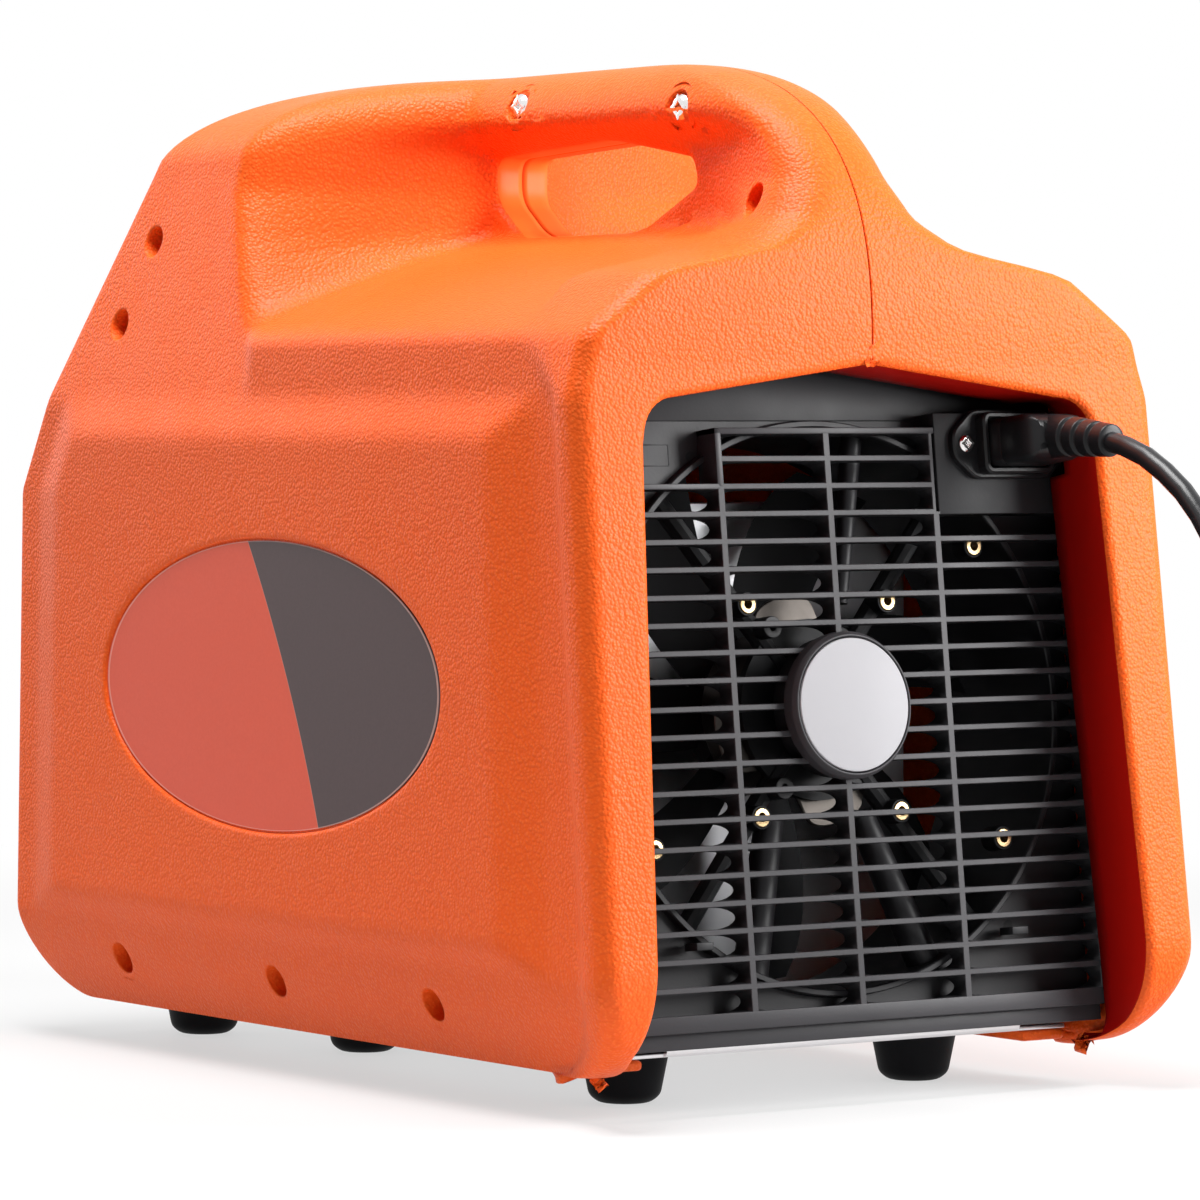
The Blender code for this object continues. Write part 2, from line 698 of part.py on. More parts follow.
def build_shells(plane):
    orange = finish("orange_moulding", ORANGE, 0.45)
    label_tilt = math.atan(SIDE_DRAFT)
    label_place = empty("label_axis", Matrix.Translation(
        (surface_x(*LABEL_CENTRE), *LABEL_CENTRE)) @ Matrix.Rotation(-label_tilt, 4, "Y"))
    recess = bmesh.new()
    add_prism(recess, ellipse_outline((0.0, 0.0), [h + GAP for h in LABEL_HALF]),
              -LABEL_DEPTH, 0.010, "X")
    recess = cutter("label_recess", recess, label_place)
    for name, side in (("side_shell_right", 1), ("side_shell_left", -1)):
        shell = half_shell(name, side, orange)
        seam = SEAM_GAP / 2
        extra = bmesh.new()
        low, high = sorted((side * seam, side * (WEB - GAP)))
        add_prism(extra, hole_outline(COLLAR), low, high, "X")
        if side > 0:
            for _, y, z, depth in CASE_SCREWS:
                x = surface_x(y, z)
                add_rod(extra, (x - 0.001, y, z), (x - depth - SHELL_WALL, y, z),
                        RECESS_RADIUS + BOSS_WALL, 16)
        combine(shell, cutter(name + "_bosses", extra), "UNION")
        combine(shell, cutter(name + "_recess_wall", recess_wall(side)), "UNION")
        other = bmesh.new()
        low, high = sorted((side * seam, -side * 0.05))
        add_box(other, (low, FRONT_Y - 0.05, 0.0), (high, REAR_Y + 0.05, HEIGHT + 0.05))
        combine(shell, cutter(name + "_seam", other), "DIFFERENCE")
        opening = bmesh.new()
        add_prism(opening, opening_outline(), REAR_Y - 0.075, REAR_Y + 0.03, "Y")
        combine(shell, cutter(name + "_opening", opening), "DIFFERENCE")
        if side < 0:
            room = bmesh.new()
            deep = INLET_COLLAR + 2 * GAP
            far = INLET_X - INLET_HALF_WIDTH - 2 * GAP
            tall = INLET_HALF_HEIGHT + 2 * GAP
            add_box(room, (far, -0.002, INLET_UP - tall), (far + 0.016, deep, INLET_UP + tall))
            combine(shell, cutter("flange_room", room, plane), "DIFFERENCE")
        if side > 0:
            bores = bmesh.new()
            for _, y, z, depth in CASE_SCREWS:
                x = surface_x(y, z)
                add_rod(bores, (x - depth, y, z), (x + 0.02, y, z), RECESS_RADIUS, 16)
            combine(shell, cutter("screw_recesses", bores), "DIFFERENCE")
            shanks = bmesh.new()
            for _, y, z, depth in CASE_SCREWS:
                x = surface_x(y, z) - depth
                add_rod(shanks, (x - 0.008, y, z), (x + 0.001, y, z), SCREW_SHANK + GAP, 10)
            combine(shell, cutter("screw_holes", shanks), "DIFFERENCE")
            combine(shell, recess, "DIFFERENCE")
        hand = bmesh.new()
        low, high = sorted((side * -0.001, side * (WEB + 0.030)))
        add_prism(hand, hole_outline(), low, high, "X")
        combine(shell, cutter(name + "_hand_hole", hand), "DIFFERENCE")
    label = bmesh.new()
    add_prism(label, ellipse_outline((0.0, 0.0), LABEL_HALF), -LABEL_DEPTH + GAP,
              -LABEL_DEPTH + GAP + LABEL_THICKNESS, "X")
    put("label_plate", label, finish("label_film", (0.62, 0.12, 0.07), 0.5), label_place)


def build_case_screws():
    chrome = finish("bright_screw", (0.75, 0.74, 0.73), 0.2, 1.0)
    for name, y, z, depth in CASE_SCREWS:
        floor = surface_x(y, z) - depth + GAP
        profile = ((0.0, SCREW_HEAD), (SCREW_HEAD_RADIUS * 0.8, SCREW_HEAD),
                   (SCREW_HEAD_RADIUS, SCREW_HEAD * 0.6), (SCREW_HEAD_RADIUS, 0.0),
                   (SCREW_SHANK, 0.0), (SCREW_SHANK, -SCREW_SHANK_LENGTH),
                   (0.0, -SCREW_SHANK_LENGTH))
        turned(name, profile, chrome, place=facing(floor, y, z, (1, 0, 0)), steps=10)


def build_base():
    steel = finish("brushed_steel", STEEL, 0.35, 1.0)
    low = FOOT_HEIGHT + GAP
    plate = bmesh.new()
    add_box(plate, (-BASE_HALF_WIDTH, BASE_FRONT, low), (BASE_HALF_WIDTH, BASE_REAR, BASE_TOP))
    plate = put("base_plate", plate, steel)
    lip = bmesh.new()
    add_box(lip, (-LIP_HALF_WIDTH, BASE_REAR - BASE_THICKNESS, low + BASE_THICKNESS / 2),
            (LIP_HALF_WIDTH, BASE_REAR, low + LIP_HEIGHT))
    combine(plate, cutter("rear_lip", lip), "UNION")
    rubber = finish("black_rubber", BLACK, 0.75)
    inner = FOOT_BOTTOM_RADIUS - FOOT_ROUND
    profile = ((0.0, FOOT_HEIGHT), (FOOT_TOP_RADIUS, FOOT_HEIGHT),
               (FOOT_BOTTOM_RADIUS, FOOT_ROUND), (FOOT_BOTTOM_RADIUS - FOOT_ROUND * 0.3,
               FOOT_ROUND * 0.3), (inner, 0.0), (0.0, 0.0))
    for row, (x, y) in FOOT_SPREAD.items():
        for hand, side in (("right", 1), ("left", -1)):
            turned(f"foot_{row}_{hand}", profile, rubber,
                   place=Matrix.Translation((side * x, y, 0.0)), steps=18)


# Rear panel, fan and inlet, in the leaning plane whose own +Y points out of the machine

def rear_plane():
    y = REAR_Y - REAR_LEAN * (HUB_HEIGHT - SHELL_BOTTOM) - GRILLE_RECESS
    turn = Matrix.Rotation(LEAN_ANGLE, 4, "X")
    return empty("rear_plane", Matrix.Translation((0.0, y, HUB_HEIGHT)) @ turn)


def height_in_plane(plane, z, depth):
    """Own Z of the point of the leaning plane that is at world height z and own Y depth."""
    up = plane.matrix_basis
    return (z - up[2][3] - up[2][1] * depth) / up[2][2]


def bar_height(index):
    return BAR_FIRST - index * BAR_PITCH


def build_grille(plane, plastic):
    half = GRILLE_HALF_WIDTH
    foot = height_in_plane(plane, BASE_TOP + LIP_HEIGHT - BASE_THICKNESS + GAP, -SHROUD_DEPTH + GAP)
    tray = bmesh.new()
    add_box(tray, (-half, -SHROUD_DEPTH + GAP, foot), (half, 0.0, GRILLE_TOP))
    tray = put("rear_grille", tray, plastic, plane)
    well = bmesh.new()
    wall = GRILLE_WALL
    add_box(well, (wall - half, -SHROUD_DEPTH - 0.01, foot + wall),
            (half - wall, -GRILLE_THICKNESS, GRILLE_TOP - wall))
    combine(tray, cutter("grille_well", well, plane), "DIFFERENCE")
    slots = bmesh.new()
    edges = (-SLOT_EDGE, -RIB_SPACING, 0.0, RIB_SPACING, SLOT_EDGE)
    for row in range(BAR_COUNT - 1):
        top = bar_height(row) - BAR_THICKNESS / 2
        low = bar_height(row + 1) + BAR_THICKNESS / 2
        for column, (a, b) in enumerate(zip(edges, edges[1:])):
            if (column == 3 and row < 2) or (column == 0 and row < 3):
                continue
            left = a + (RIB_THICKNESS / 2 if column > 0 else 0.0)
            right = b - (RIB_THICKNESS / 2 if column < 3 else 0.0)
            middle = (top + low) / 2
            reach = HUB_RADIUS - 0.002
            if abs(middle) < reach:
                inner = math.sqrt(reach ** 2 - middle ** 2)
                if column == 1:
                    right = min(right, -inner)
                if column == 2:
                    left = max(left, inner)
            add_box(slots, (left, -GRILLE_THICKNESS - 0.001, low), (right, 0.001, top))
    combine(tray, cutter("grille_slots", slots, plane), "DIFFERENCE")
    hub = bmesh.new()
    add_rod(hub, (0, -GRILLE_THICKNESS, 0), (0, HUB_PROUD, 0), HUB_RADIUS, 32)
    combine(tray, cutter("grille_hub", hub, plane), "UNION")
    holes = bmesh.new()
    add_rod(holes, (0, HUB_PROUD - DISC_THICKNESS - GAP, 0), (0, HUB_PROUD + 0.01, 0),
            DISC_RADIUS + GAP, 32)
    wide, tall = INLET_BODY
    add_box(holes, (INLET_X - wide - GAP, -0.02, INLET_UP - tall - GAP),
            (INLET_X + wide + GAP, 0.02, INLET_UP + tall + GAP))
    for side in (-1, 1):
        x = INLET_X + side * INLET_SCREW_SPACING / 2
        add_rod(holes, (x, -0.02, INLET_UP), (x, 0.02, INLET_UP), SCREW_SHANK + GAP, 10)
    combine(tray, cutter("grille_holes", holes, plane), "DIFFERENCE")
    disc = bmesh.new()
    add_rod(disc, (0, HUB_PROUD - DISC_THICKNESS, 0), (0, HUB_PROUD - GAP, 0), DISC_RADIUS, 32)
    put("grille_disc", disc, finish("pale_disc", (0.75, 0.74, 0.76), 0.5), plane, smooth=40)


def build_shroud(plane, plastic):
    face = -SHROUD_DEPTH
    back = face - SHROUD_THICKNESS
    end = back - DUCT_LENGTH
    foot = height_in_plane(plane, BASE_TOP + GAP, back)
    half = GRILLE_HALF_WIDTH - GRILLE_WALL
    plate = bmesh.new()
    add_box(plate, (-half, back, foot), (half, face, GRILLE_TOP - GRILLE_WALL))
    shroud = put("fan_shroud", plate, plastic, plane)
    duct = bmesh.new()
    add_rod(duct, (0, end, 0), (0, -DUCT_LIP, 0), DUCT_RADIUS + DUCT_WALL, 48)
    combine(shroud, cutter("duct_wall", duct, plane), "UNION")
    bore = bmesh.new()
    add_rod(bore, (0, end - 0.01, 0), (0, 0, 0), DUCT_RADIUS, 48)
    combine(shroud, cutter("duct_bore", bore, plane), "DIFFERENCE")
    spider = bmesh.new()
    reach = DUCT_RADIUS + DUCT_WALL / 2
    lean = math.atan2(INNER_POST[1], INNER_POST[0])
    half_arm = ARM_WIDTH / 2
    for turn in (lean, -lean):
        along = Vector((math.cos(turn), math.sin(turn)))
        side = Vector((-along.y, along.x))
        outline = [tuple(along * a * reach + side * b * half_arm)
                   for a, b in ((-1, -1), (1, -1), (1, 1), (-1, 1))]
        arm = bmesh.new()
        add_prism(arm, outline, back, face - 0.0004, "Y")
        combine(shroud, cutter(f"arm_{'up' if turn > 0 else 'down'}", arm, plane), "UNION")
    add_rod(spider, (0, back, 0), (0, face - 0.0002, 0), ARM_DISC_RADIUS, 28)
    combine(shroud, cutter("arm_disc", spider, plane), "UNION")
    posts = bmesh.new()
    top = face + INSERT_LENGTH
    x, z = INNER_POST
    places = ((x, z), (-x, z), (-x, -z), (x, -z))
    for x, z in places:
        add_rod(posts, (x, face - 0.002, z), (x, top, z), POST_RADIUS, 12)
    combine(shroud, cutter("insert_posts", posts, plane), "UNION")
    seats = bmesh.new()
    for x, z in places:
        add_rod(seats, (x, top - INSERT_LENGTH - GAP, z), (x, top + 0.01, z),
                INSERT_RADIUS + GAP, 12)
    combine(shroud, cutter("insert_seats", seats, plane), "DIFFERENCE")
    brass = finish("brass_insert", BRASS, 0.3, 1.0)
    profile = ((INSERT_BORE, 0.0), (INSERT_RADIUS, 0.0), (INSERT_RADIUS, -INSERT_LENGTH),
               (INSERT_BORE, -INSERT_LENGTH), (INSERT_BORE, 0.0))
    for number, (x, z) in enumerate(places, 1):
        turned(f"threaded_insert_{number}", profile, brass, plane,
               facing(x, top - GAP / 2, z, (0, 1, 0)), steps=12)


def build_fan(plane):
    back = -SHROUD_DEPTH - SHROUD_THICKNESS - GAP
    end = back - FAN_MOTOR_LENGTH
    bore = SHAFT_RADIUS + GAP
    profile = ((0.0, 0.0), (FAN_MOTOR_RADIUS, 0.0), (FAN_MOTOR_RADIUS, -FAN_MOTOR_LENGTH),
               (bore, -FAN_MOTOR_LENGTH), (bore, -0.010), (0.0, -0.010))
    turned("fan_motor", profile, finish("fan_motor_steel", (0.30, 0.27, 0.25), 0.4, 1.0),
           plane, facing(0, back, 0, (0, 1, 0)), steps=28)
    front = end - 0.0025
    middle = front - FAN_DEPTH / 2
    axis = empty("fan_axis", Matrix.Translation((0, middle, 0)))
    axis.parent = plane
    rotor = bmesh.new()
    add_rod(rotor, (0, -FAN_DEPTH / 2, 0), (0, FAN_DEPTH / 2, 0), FAN_HUB_RADIUS, 28)
    rotor = put("fan_rotor", rotor, finish("fan_black", (0.05, 0.05, 0.055), 0.5), axis, smooth=40)
    shaft = bmesh.new()
    add_rod(shaft, (0, 0, 0), (0, back - 0.0115 - middle, 0), SHAFT_RADIUS, 12)
    combine(rotor, cutter("fan_shaft", shaft, axis), "UNION")
    blades = bmesh.new()
    for i in range(FAN_BLADES):
        turn = Matrix.Rotation(i * 2 * math.pi / FAN_BLADES, 4, "Y")
        pitch = Matrix.Rotation(math.radians(BLADE_PITCH), 4, "X")
        length = FAN_TIP_RADIUS - FAN_HUB_RADIUS * 0.7
        centre = Matrix.Translation((FAN_HUB_RADIUS * 0.7 + length / 2, 0, 0))
        size = Matrix.Diagonal((length, BLADE_THICKNESS, BLADE_CHORD, 1.0))
        bmesh.ops.create_cube(blades, size=1.0, matrix=turn @ centre @ pitch @ size)
    combine(rotor, cutter("fan_blades", blades, axis), "UNION")


def build_inlet(plane, black):
    x, up = INLET_X, INLET_UP
    wide, tall = INLET_HALF_WIDTH, INLET_HALF_HEIGHT
    body, height = INLET_BODY
    ear = INLET_EAR
    outline = [(x - wide, up - ear), (x - body, up - tall), (x + body, up - tall),
               (x + wide, up - ear), (x + wide, up + ear), (x + body, up + tall),
               (x - body, up + tall), (x - wide, up + ear)]
    flange = bmesh.new()
    add_prism(flange, outline, GAP, GAP + INLET_FLANGE, "Y")
    inlet = put("mains_inlet", flange, black, plane)
    block = bmesh.new()
    add_box(block, (x - body, -INLET_BODY_DEPTH, up - height), (x + body, INLET_COLLAR, up + height))
    combine(inlet, cutter("inlet_body", block, plane), "UNION")
    hollow = bmesh.new()
    wide_plug, tall_plug = PLUG_BODY
    floor = -INLET_BODY_DEPTH + 0.002
    add_box(hollow, (x - wide_plug - GAP, floor, up - tall_plug - GAP),
            (x + wide_plug + GAP, 0.02, up + tall_plug + GAP))
    for side in (-1, 1):
        place = x + side * INLET_SCREW_SPACING / 2
        add_rod(hollow, (place, -0.002, up), (place, 0.02, up), SCREW_SHANK + GAP, 10)
    combine(inlet, cutter("inlet_hollow", hollow, plane), "DIFFERENCE")
    steel = finish("inlet_screw", (0.66, 0.65, 0.64), 0.25, 1.0)
    profile = ((0.0, 0.0016), (INLET_SCREW_RADIUS * 0.7, 0.0016), (INLET_SCREW_RADIUS, 0.0008),
               (INLET_SCREW_RADIUS, 0.0), (SCREW_SHANK, 0.0), (SCREW_SHANK, -0.0075),
               (0.0, -0.0075))
    for side, hand in ((1, "inner"), (-1, "outer")):
        place = x + side * INLET_SCREW_SPACING / 2
        turned(f"inlet_screw_{hand}", profile, steel, plane,
               facing(place, INLET_FLANGE + 2 * GAP, up, (0, 1, 0)), steps=10)
    plug = bmesh.new()
    add_box(plug, (x - wide_plug, floor + GAP, up - tall_plug),
            (x + wide_plug, PLUG_BODY_LENGTH, up + tall_plug))
    plug = put("power_plug", plug, black, plane)
    relief = bmesh.new()
    start = Vector((x, PLUG_BODY_LENGTH - 0.002, up))
    end = Vector((x, PLUG_BODY_LENGTH + RELIEF_LENGTH, up - RELIEF_DROP))
    add_rod(relief, start, end, RELIEF_RADIUS, 16, RELIEF_END_RADIUS)
    combine(plug, cutter("plug_relief", relief, plane), "UNION")
    world = plane.matrix_basis
    face = world @ end
    out = (face - world @ start).normalized()
    down = (Vector(CORD_ROUTE[0]) - face).normalized()
    return face + out * (GAP + out.cross(down).length * CORD_DIAMETER / 2)


def build_cord(start, black):
    half = CORD_DIAMETER / 2
    width = COIL_LANES * half
    height = COIL_LAYERS * CORD_DIAMETER
    inner, outer = COIL_RADIUS - width, COIL_RADIUS + width
    low = CORD_SINK
    cx, cy = COIL_CENTRE
    arrive = outer + half + GAP
    turn = math.radians(COIL_MEETS_AT)
    end = (cx + arrive * math.cos(turn), cy + arrive * math.sin(turn), half + low)
    route = smooth_route([tuple(start), *CORD_ROUTE, end], CORD_SPACING)
    tube("power_cord", route, half, black)
    bevel = half * 0.6
    top = low + height
    profile = ((inner, top - bevel), (inner + bevel, top), (outer - bevel, top),
               (outer, top - bevel), (outer, low + bevel), (outer - bevel, low),
               (inner + bevel, low), (inner, low + bevel), (inner, top - bevel))
    turned("cord_coil", profile, black, place=Matrix.Translation((cx, cy, 0.0)), steps=28)
    tie = bmesh.new()
    far = TIE_THICKNESS + GAP
    add_box(tie, (cx - TIE_WIDTH / 2, cy - outer - far, low),
            (cx + TIE_WIDTH / 2, cy - inner + far + 0.001, top + far))
    tie = put("cord_tie", tie, finish("tie_plastic", (0.02, 0.02, 0.02), 0.5))
    room = bmesh.new()
    add_box(room, (cx - TIE_WIDTH, cy - outer - GAP, low - 0.001),
            (cx + TIE_WIDTH, cy - inner + GAP + 0.001, top + GAP))
    combine(tie, cutter("tie_room", room), "DIFFERENCE")
    x = cx - outer - RELIEF_END_RADIUS - GAP
    turn = math.radians(MAINS_PLUG_TURN)
    along = Vector((-math.sin(turn), -math.cos(turn), 0.0))
    across = Vector((along.y, -along.x, 0.0))
    start = Vector((x, cy, RELIEF_END_RADIUS + low))
    back = Vector((x, cy, PLUG_BODY_RADIUS + low)) + along * RELIEF_LENGTH
    face = back + along * MAINS_PLUG_LENGTH
    plug = bmesh.new()
    add_rod(plug, back, face, PLUG_BODY_RADIUS, 20)
    plug = put("mains_plug", plug, black, smooth=40)
    relief = bmesh.new()
    add_rod(relief, start, back + along * 0.002, RELIEF_END_RADIUS, 12, RELIEF_RADIUS)
    combine(plug, cutter("mains_relief", relief), "UNION")
    pins = bmesh.new()
    for side in (-1, 1):
        place = face + across * side * PIN_SPACING / 2
        add_rod(pins, place - along * 0.002, place + along * PIN_LENGTH, PIN_RADIUS, 10)
    combine(plug, cutter("mains_pins", pins), "UNION")


# Operator's side

def build_front():
    charcoal = finish("front_panel_plastic", CHARCOAL, 0.5)
    face = FRONT_Y + FRONT_RECESS
    slanted = (0.238, 0.270, 0.300, 0.318, 0.330, 0.338)
    heights = (BASE_TOP + GAP, 0.032, SHELL_BOTTOM + FRONT_CORNER, 0.120 * TALL, SLANT_START,
               *(TALL * z for z in slanted))
    bm = bmesh.new()
    rows = []
    for z in heights:
        y = FRONT_Y + FRONT_RECESS + SLANT * max(z - SLANT_START, 0.0)
        if z < SLANT_START:
            y = float(front_edge(z)) + FRONT_RECESS
        half = min(surface_x(y + deep, z + rise) for deep in (0, PANEL_THICKNESS)
                   for rise in (0, 1.5 * SHELL_WALL)) - SHELL_WALL - PANEL_SIDE_GAP
        rows.append([bm.verts.new((x * half, y, z)) for x in (-1, 1)])
    for low, high in zip(rows, rows[1:]):
        bm.faces.new((low[0], low[1], high[1], high[0]))
    panel = put("control_panel", bm, charcoal)
    wall = panel.modifiers.new("wall", "SOLIDIFY")
    wall.thickness = PANEL_THICKNESS
    wall.offset = -1
    slant = empty("slant_plane", Matrix.Translation(
        (0.0, face + SLANT * (GAUGE_CENTRE - SLANT_START), GAUGE_CENTRE))
        @ Matrix.Rotation(-SLANT_ANGLE, 4, "X"))
    gauge_holes = bmesh.new()
    for side in (-1, 1):
        place = (side * GAUGE_SPREAD, -0.01, 0), (side * GAUGE_SPREAD, 0.02, 0)
        add_rod(gauge_holes, *place, GAUGE_RADIUS - 0.0015 + GAP, 28)
    combine(panel, cutter("gauge_holes", gauge_holes, slant), "DIFFERENCE")
    holes = bmesh.new()
    front, back = face - 0.01, face + 0.02
    for x in (-VALVE_SPREAD, 0.0, VALVE_SPREAD):
        add_rod(holes, (x, front, VALVE_HEIGHT), (x, back, VALVE_HEIGHT), STEM_RADIUS + GAP, 16)
    for x in (-VALVE_SPREAD, VALVE_SPREAD):
        add_rod(holes, (x, front, PORT_HEIGHT), (x, back, PORT_HEIGHT), PORT_RADIUS + GAP, 16)
    add_rod(holes, (BREAKER_CENTRE[0], front, BREAKER_CENTRE[1]),
            (BREAKER_CENTRE[0], back, BREAKER_CENTRE[1]), BREAKER_RADIUS + 0.0021 + GAP, 16)
    wide, tall = SWITCH_HALF
    add_box(holes, (SWITCH_CENTRE[0] - wide - GAP, front, SWITCH_CENTRE[1] - tall - GAP),
            (SWITCH_CENTRE[0] + wide + GAP, back, SWITCH_CENTRE[1] + tall + GAP))
    combine(panel, cutter("panel_holes", holes), "DIFFERENCE")
    notches = bmesh.new()
    for _, y, z, depth in CASE_SCREWS:
        if z > SLANT_START and y < HOOD_END:
            x = surface_x(y, z)
            add_rod(notches, (x - depth - SCREW_SHANK_LENGTH - GAP, y, z), (x, y, z),
                    RECESS_RADIUS + BOSS_WALL + GAP, 16)
    combine(panel, cutter("boss_notches", notches), "DIFFERENCE")
    build_gauges(slant)
    build_valves(face)
    build_switch(face)
    build_breaker(face)


def build_gauges(slant):
    white = finish("gauge_case", (0.70, 0.70, 0.69), 0.3, 0.6)
    glass = finish("gauge_glass", (0.80, 0.86, 0.88), 0.05)
    red = finish("needle_red", (0.55, 0.02, 0.02), 0.4)
    rim = GAUGE_RADIUS + 0.0015
    inside = GAUGE_RADIUS - 0.002
    body = GAUGE_RADIUS - 0.0015
    lens = inside - GAP
    dial = 0.0016
    profile = ((0.0, dial), (inside, dial), (inside, GAUGE_RIM + 0.0015), (rim, GAUGE_RIM),
               (rim, GAP), (body, GAP), (body, -GAUGE_DEPTH), (0.0, -GAUGE_DEPTH))
    low = dial + 0.0004
    for name, side in (("low", -1), ("high", 1)):
        x = side * GAUGE_SPREAD
        place = facing(x, 0, 0, (0, -1, 0))
        turned(f"gauge_{name}", profile, white, slant, place, steps=28)
        top = GAUGE_RIM + 0.0005
        turned(f"gauge_{name}_glass", ((0.0, top), (lens, top), (lens, top - GAUGE_GLASS),
               (0.0, top - GAUGE_GLASS)), glass, slant, place, steps=24)
        axis = empty(f"needle_{name}_axis", Matrix.Translation((x, 0, 0)))
        axis.parent = slant
        needle = bmesh.new()
        start = math.radians(225)
        along = Vector((math.cos(start), math.sin(start)))
        across = Vector((-along.y, along.x))
        outline = [tuple(along * a * NEEDLE_LENGTH + across * b) for a, b in
                   ((-0.25, -0.0008), (1.0, -0.0002), (1.0, 0.0002), (-0.25, 0.0008))]
        add_prism(needle, outline, -(low + 0.0009), -low, "Y")
        needle = put(f"needle_{name}", needle, red, axis)
        boss = bmesh.new()
        add_rod(boss, (0, -low + 0.0001, 0), (0, -low - 0.0010, 0), 0.0026, 12)
        combine(needle, cutter(f"needle_{name}_boss", boss, axis), "UNION")


def knob(name, x, face, radius, material):
    axis = empty(f"{name}_axis", Matrix.Translation((x, face, VALVE_HEIGHT)))
    start = GAP * 2
    top = start + KNOB_LENGTH
    stem = -PANEL_THICKNESS
    profile = ((0.0, top), (radius * 0.55, top), (radius * 0.62, start + 0.007),
               (radius * 0.95, start + 0.006), (radius, start + 0.004), (radius, start),
               (STEM_RADIUS, start), (STEM_RADIUS, stem), (0.0, stem))
    item = turned(name, profile, material, axis, facing(0, 0, 0, (0, -1, 0)), steps=24)
    bar = bmesh.new()
    reach = radius * 0.93
    add_box(bar, (-0.0035, -top, -reach), (0.0035, -start - 0.001, reach))
    combine(item, cutter(f"{name}_bar", bar, axis), "UNION")


def build_valves(face):
    blue = finish("inlet_knob_blue", (0.03, 0.10, 0.45), 0.35)
    red = finish("outlet_knob_red", (0.55, 0.03, 0.03), 0.35)
    black = finish("selector_black", (0.03, 0.03, 0.032), 0.4)
    knob("inlet_valve_knob", -VALVE_SPREAD, face, KNOB_RADIUS, blue)
    knob("outlet_valve_knob", VALVE_SPREAD, face, KNOB_RADIUS, red)
    knob("mode_selector_knob", 0.0, face, SELECTOR_RADIUS, black)
    brass = finish("port_brass", BRASS, 0.3, 1.0)
    end = PORT_LENGTH + 0.004
    port = ((0.0, end), (PORT_RADIUS, end), (PORT_RADIUS, 0.004), (PORT_HEX, 0.004),
            (PORT_HEX, GAP), (PORT_RADIUS, GAP), (PORT_RADIUS, -PANEL_THICKNESS),
            (0.0, -PANEL_THICKNESS))
    for name, side in (("inlet", -1), ("outlet", 1)):
        place = facing(side * VALVE_SPREAD, face, PORT_HEIGHT, (0, -1, 0))
        turned(f"{name}_port", port, brass, place=place, steps=18)
    low = face + PANEL_THICKNESS + GAP
    block = bmesh.new()
    wide, deep, tall = MANIFOLD
    centre = (VALVE_HEIGHT + PORT_HEIGHT) / 2
    add_box(block, (-wide, low, centre - tall), (wide, low + 2 * deep, centre + tall))
    put("valve_manifold", block, finish("manifold_aluminium", ALUMINIUM, 0.35, 1.0))


def build_switch(face):
    x, z = SWITCH_CENTRE
    wide, tall = SWITCH_HALF
    black = finish("switch_black", (0.02, 0.02, 0.022), 0.4)
    body = bmesh.new()
    add_box(body, (x - wide, face - 0.001, z - tall), (x + wide, face + 0.018, z + tall))
    frame = put("power_switch_frame", body, black)
    rim = bmesh.new()
    add_box(rim, (x - wide - 0.002, face - 0.0022, z - tall - 0.002),
            (x + wide + 0.002, face - GAP, z + tall + 0.002))
    combine(frame, cutter("switch_rim", rim), "UNION")
    room_x, room_z, room_deep = wide - 0.0017, tall - 0.0015, 0.0062
    well = bmesh.new()
    add_box(well, (x - room_x, face - 0.01, z - room_z), (x + room_x, face + room_deep, z + room_z))
    combine(frame, cutter("switch_well", well), "DIFFERENCE")
    axis = empty("power_switch_axis", Matrix.Translation((x, face - 0.001, z))
                 @ Matrix.Rotation(-math.radians(SWITCH_TILT / 2), 4, "X"))
    long = room_z - 0.0013
    outline = [(0.0032, long), (0.0032, -long), (-0.0034, -long), (-0.0024, 0.0), (-0.0034, long)]
    rocker = bmesh.new()
    add_prism(rocker, outline, -room_x + GAP, room_x - GAP, "X")
    put("power_switch_rocker", rocker, finish("rocker_red", (0.60, 0.03, 0.02), 0.3), axis)


def build_breaker(face):
    x, z = BREAKER_CENTRE
    bore = BREAKER_RADIUS + GAP
    body = BREAKER_RADIUS + 0.0021
    rim = body + 0.0020
    deep = -0.013
    floor = -0.0085
    black = finish("breaker_black", (0.03, 0.03, 0.03), 0.45)
    profile = ((0.0, floor), (bore, floor), (bore, 0.0020), (rim, 0.0020), (rim, GAP),
               (body, GAP), (body, deep), (0.0, deep))
    turned("breaker_body", profile, black, place=facing(x, face, z, (0, -1, 0)), steps=18)
    end = 0.0055
    start = floor + BREAKER_TRAVEL + 0.0010
    cap = ((0.0, end), (BREAKER_RADIUS * 0.8, end), (BREAKER_RADIUS, end - 0.001),
           (BREAKER_RADIUS, start), (0.0, start))
    turned("breaker_button", cap, finish("button_white", (0.75, 0.75, 0.73), 0.35),
           place=facing(x, face, z, (0, -1, 0)), steps=18)


# Inside

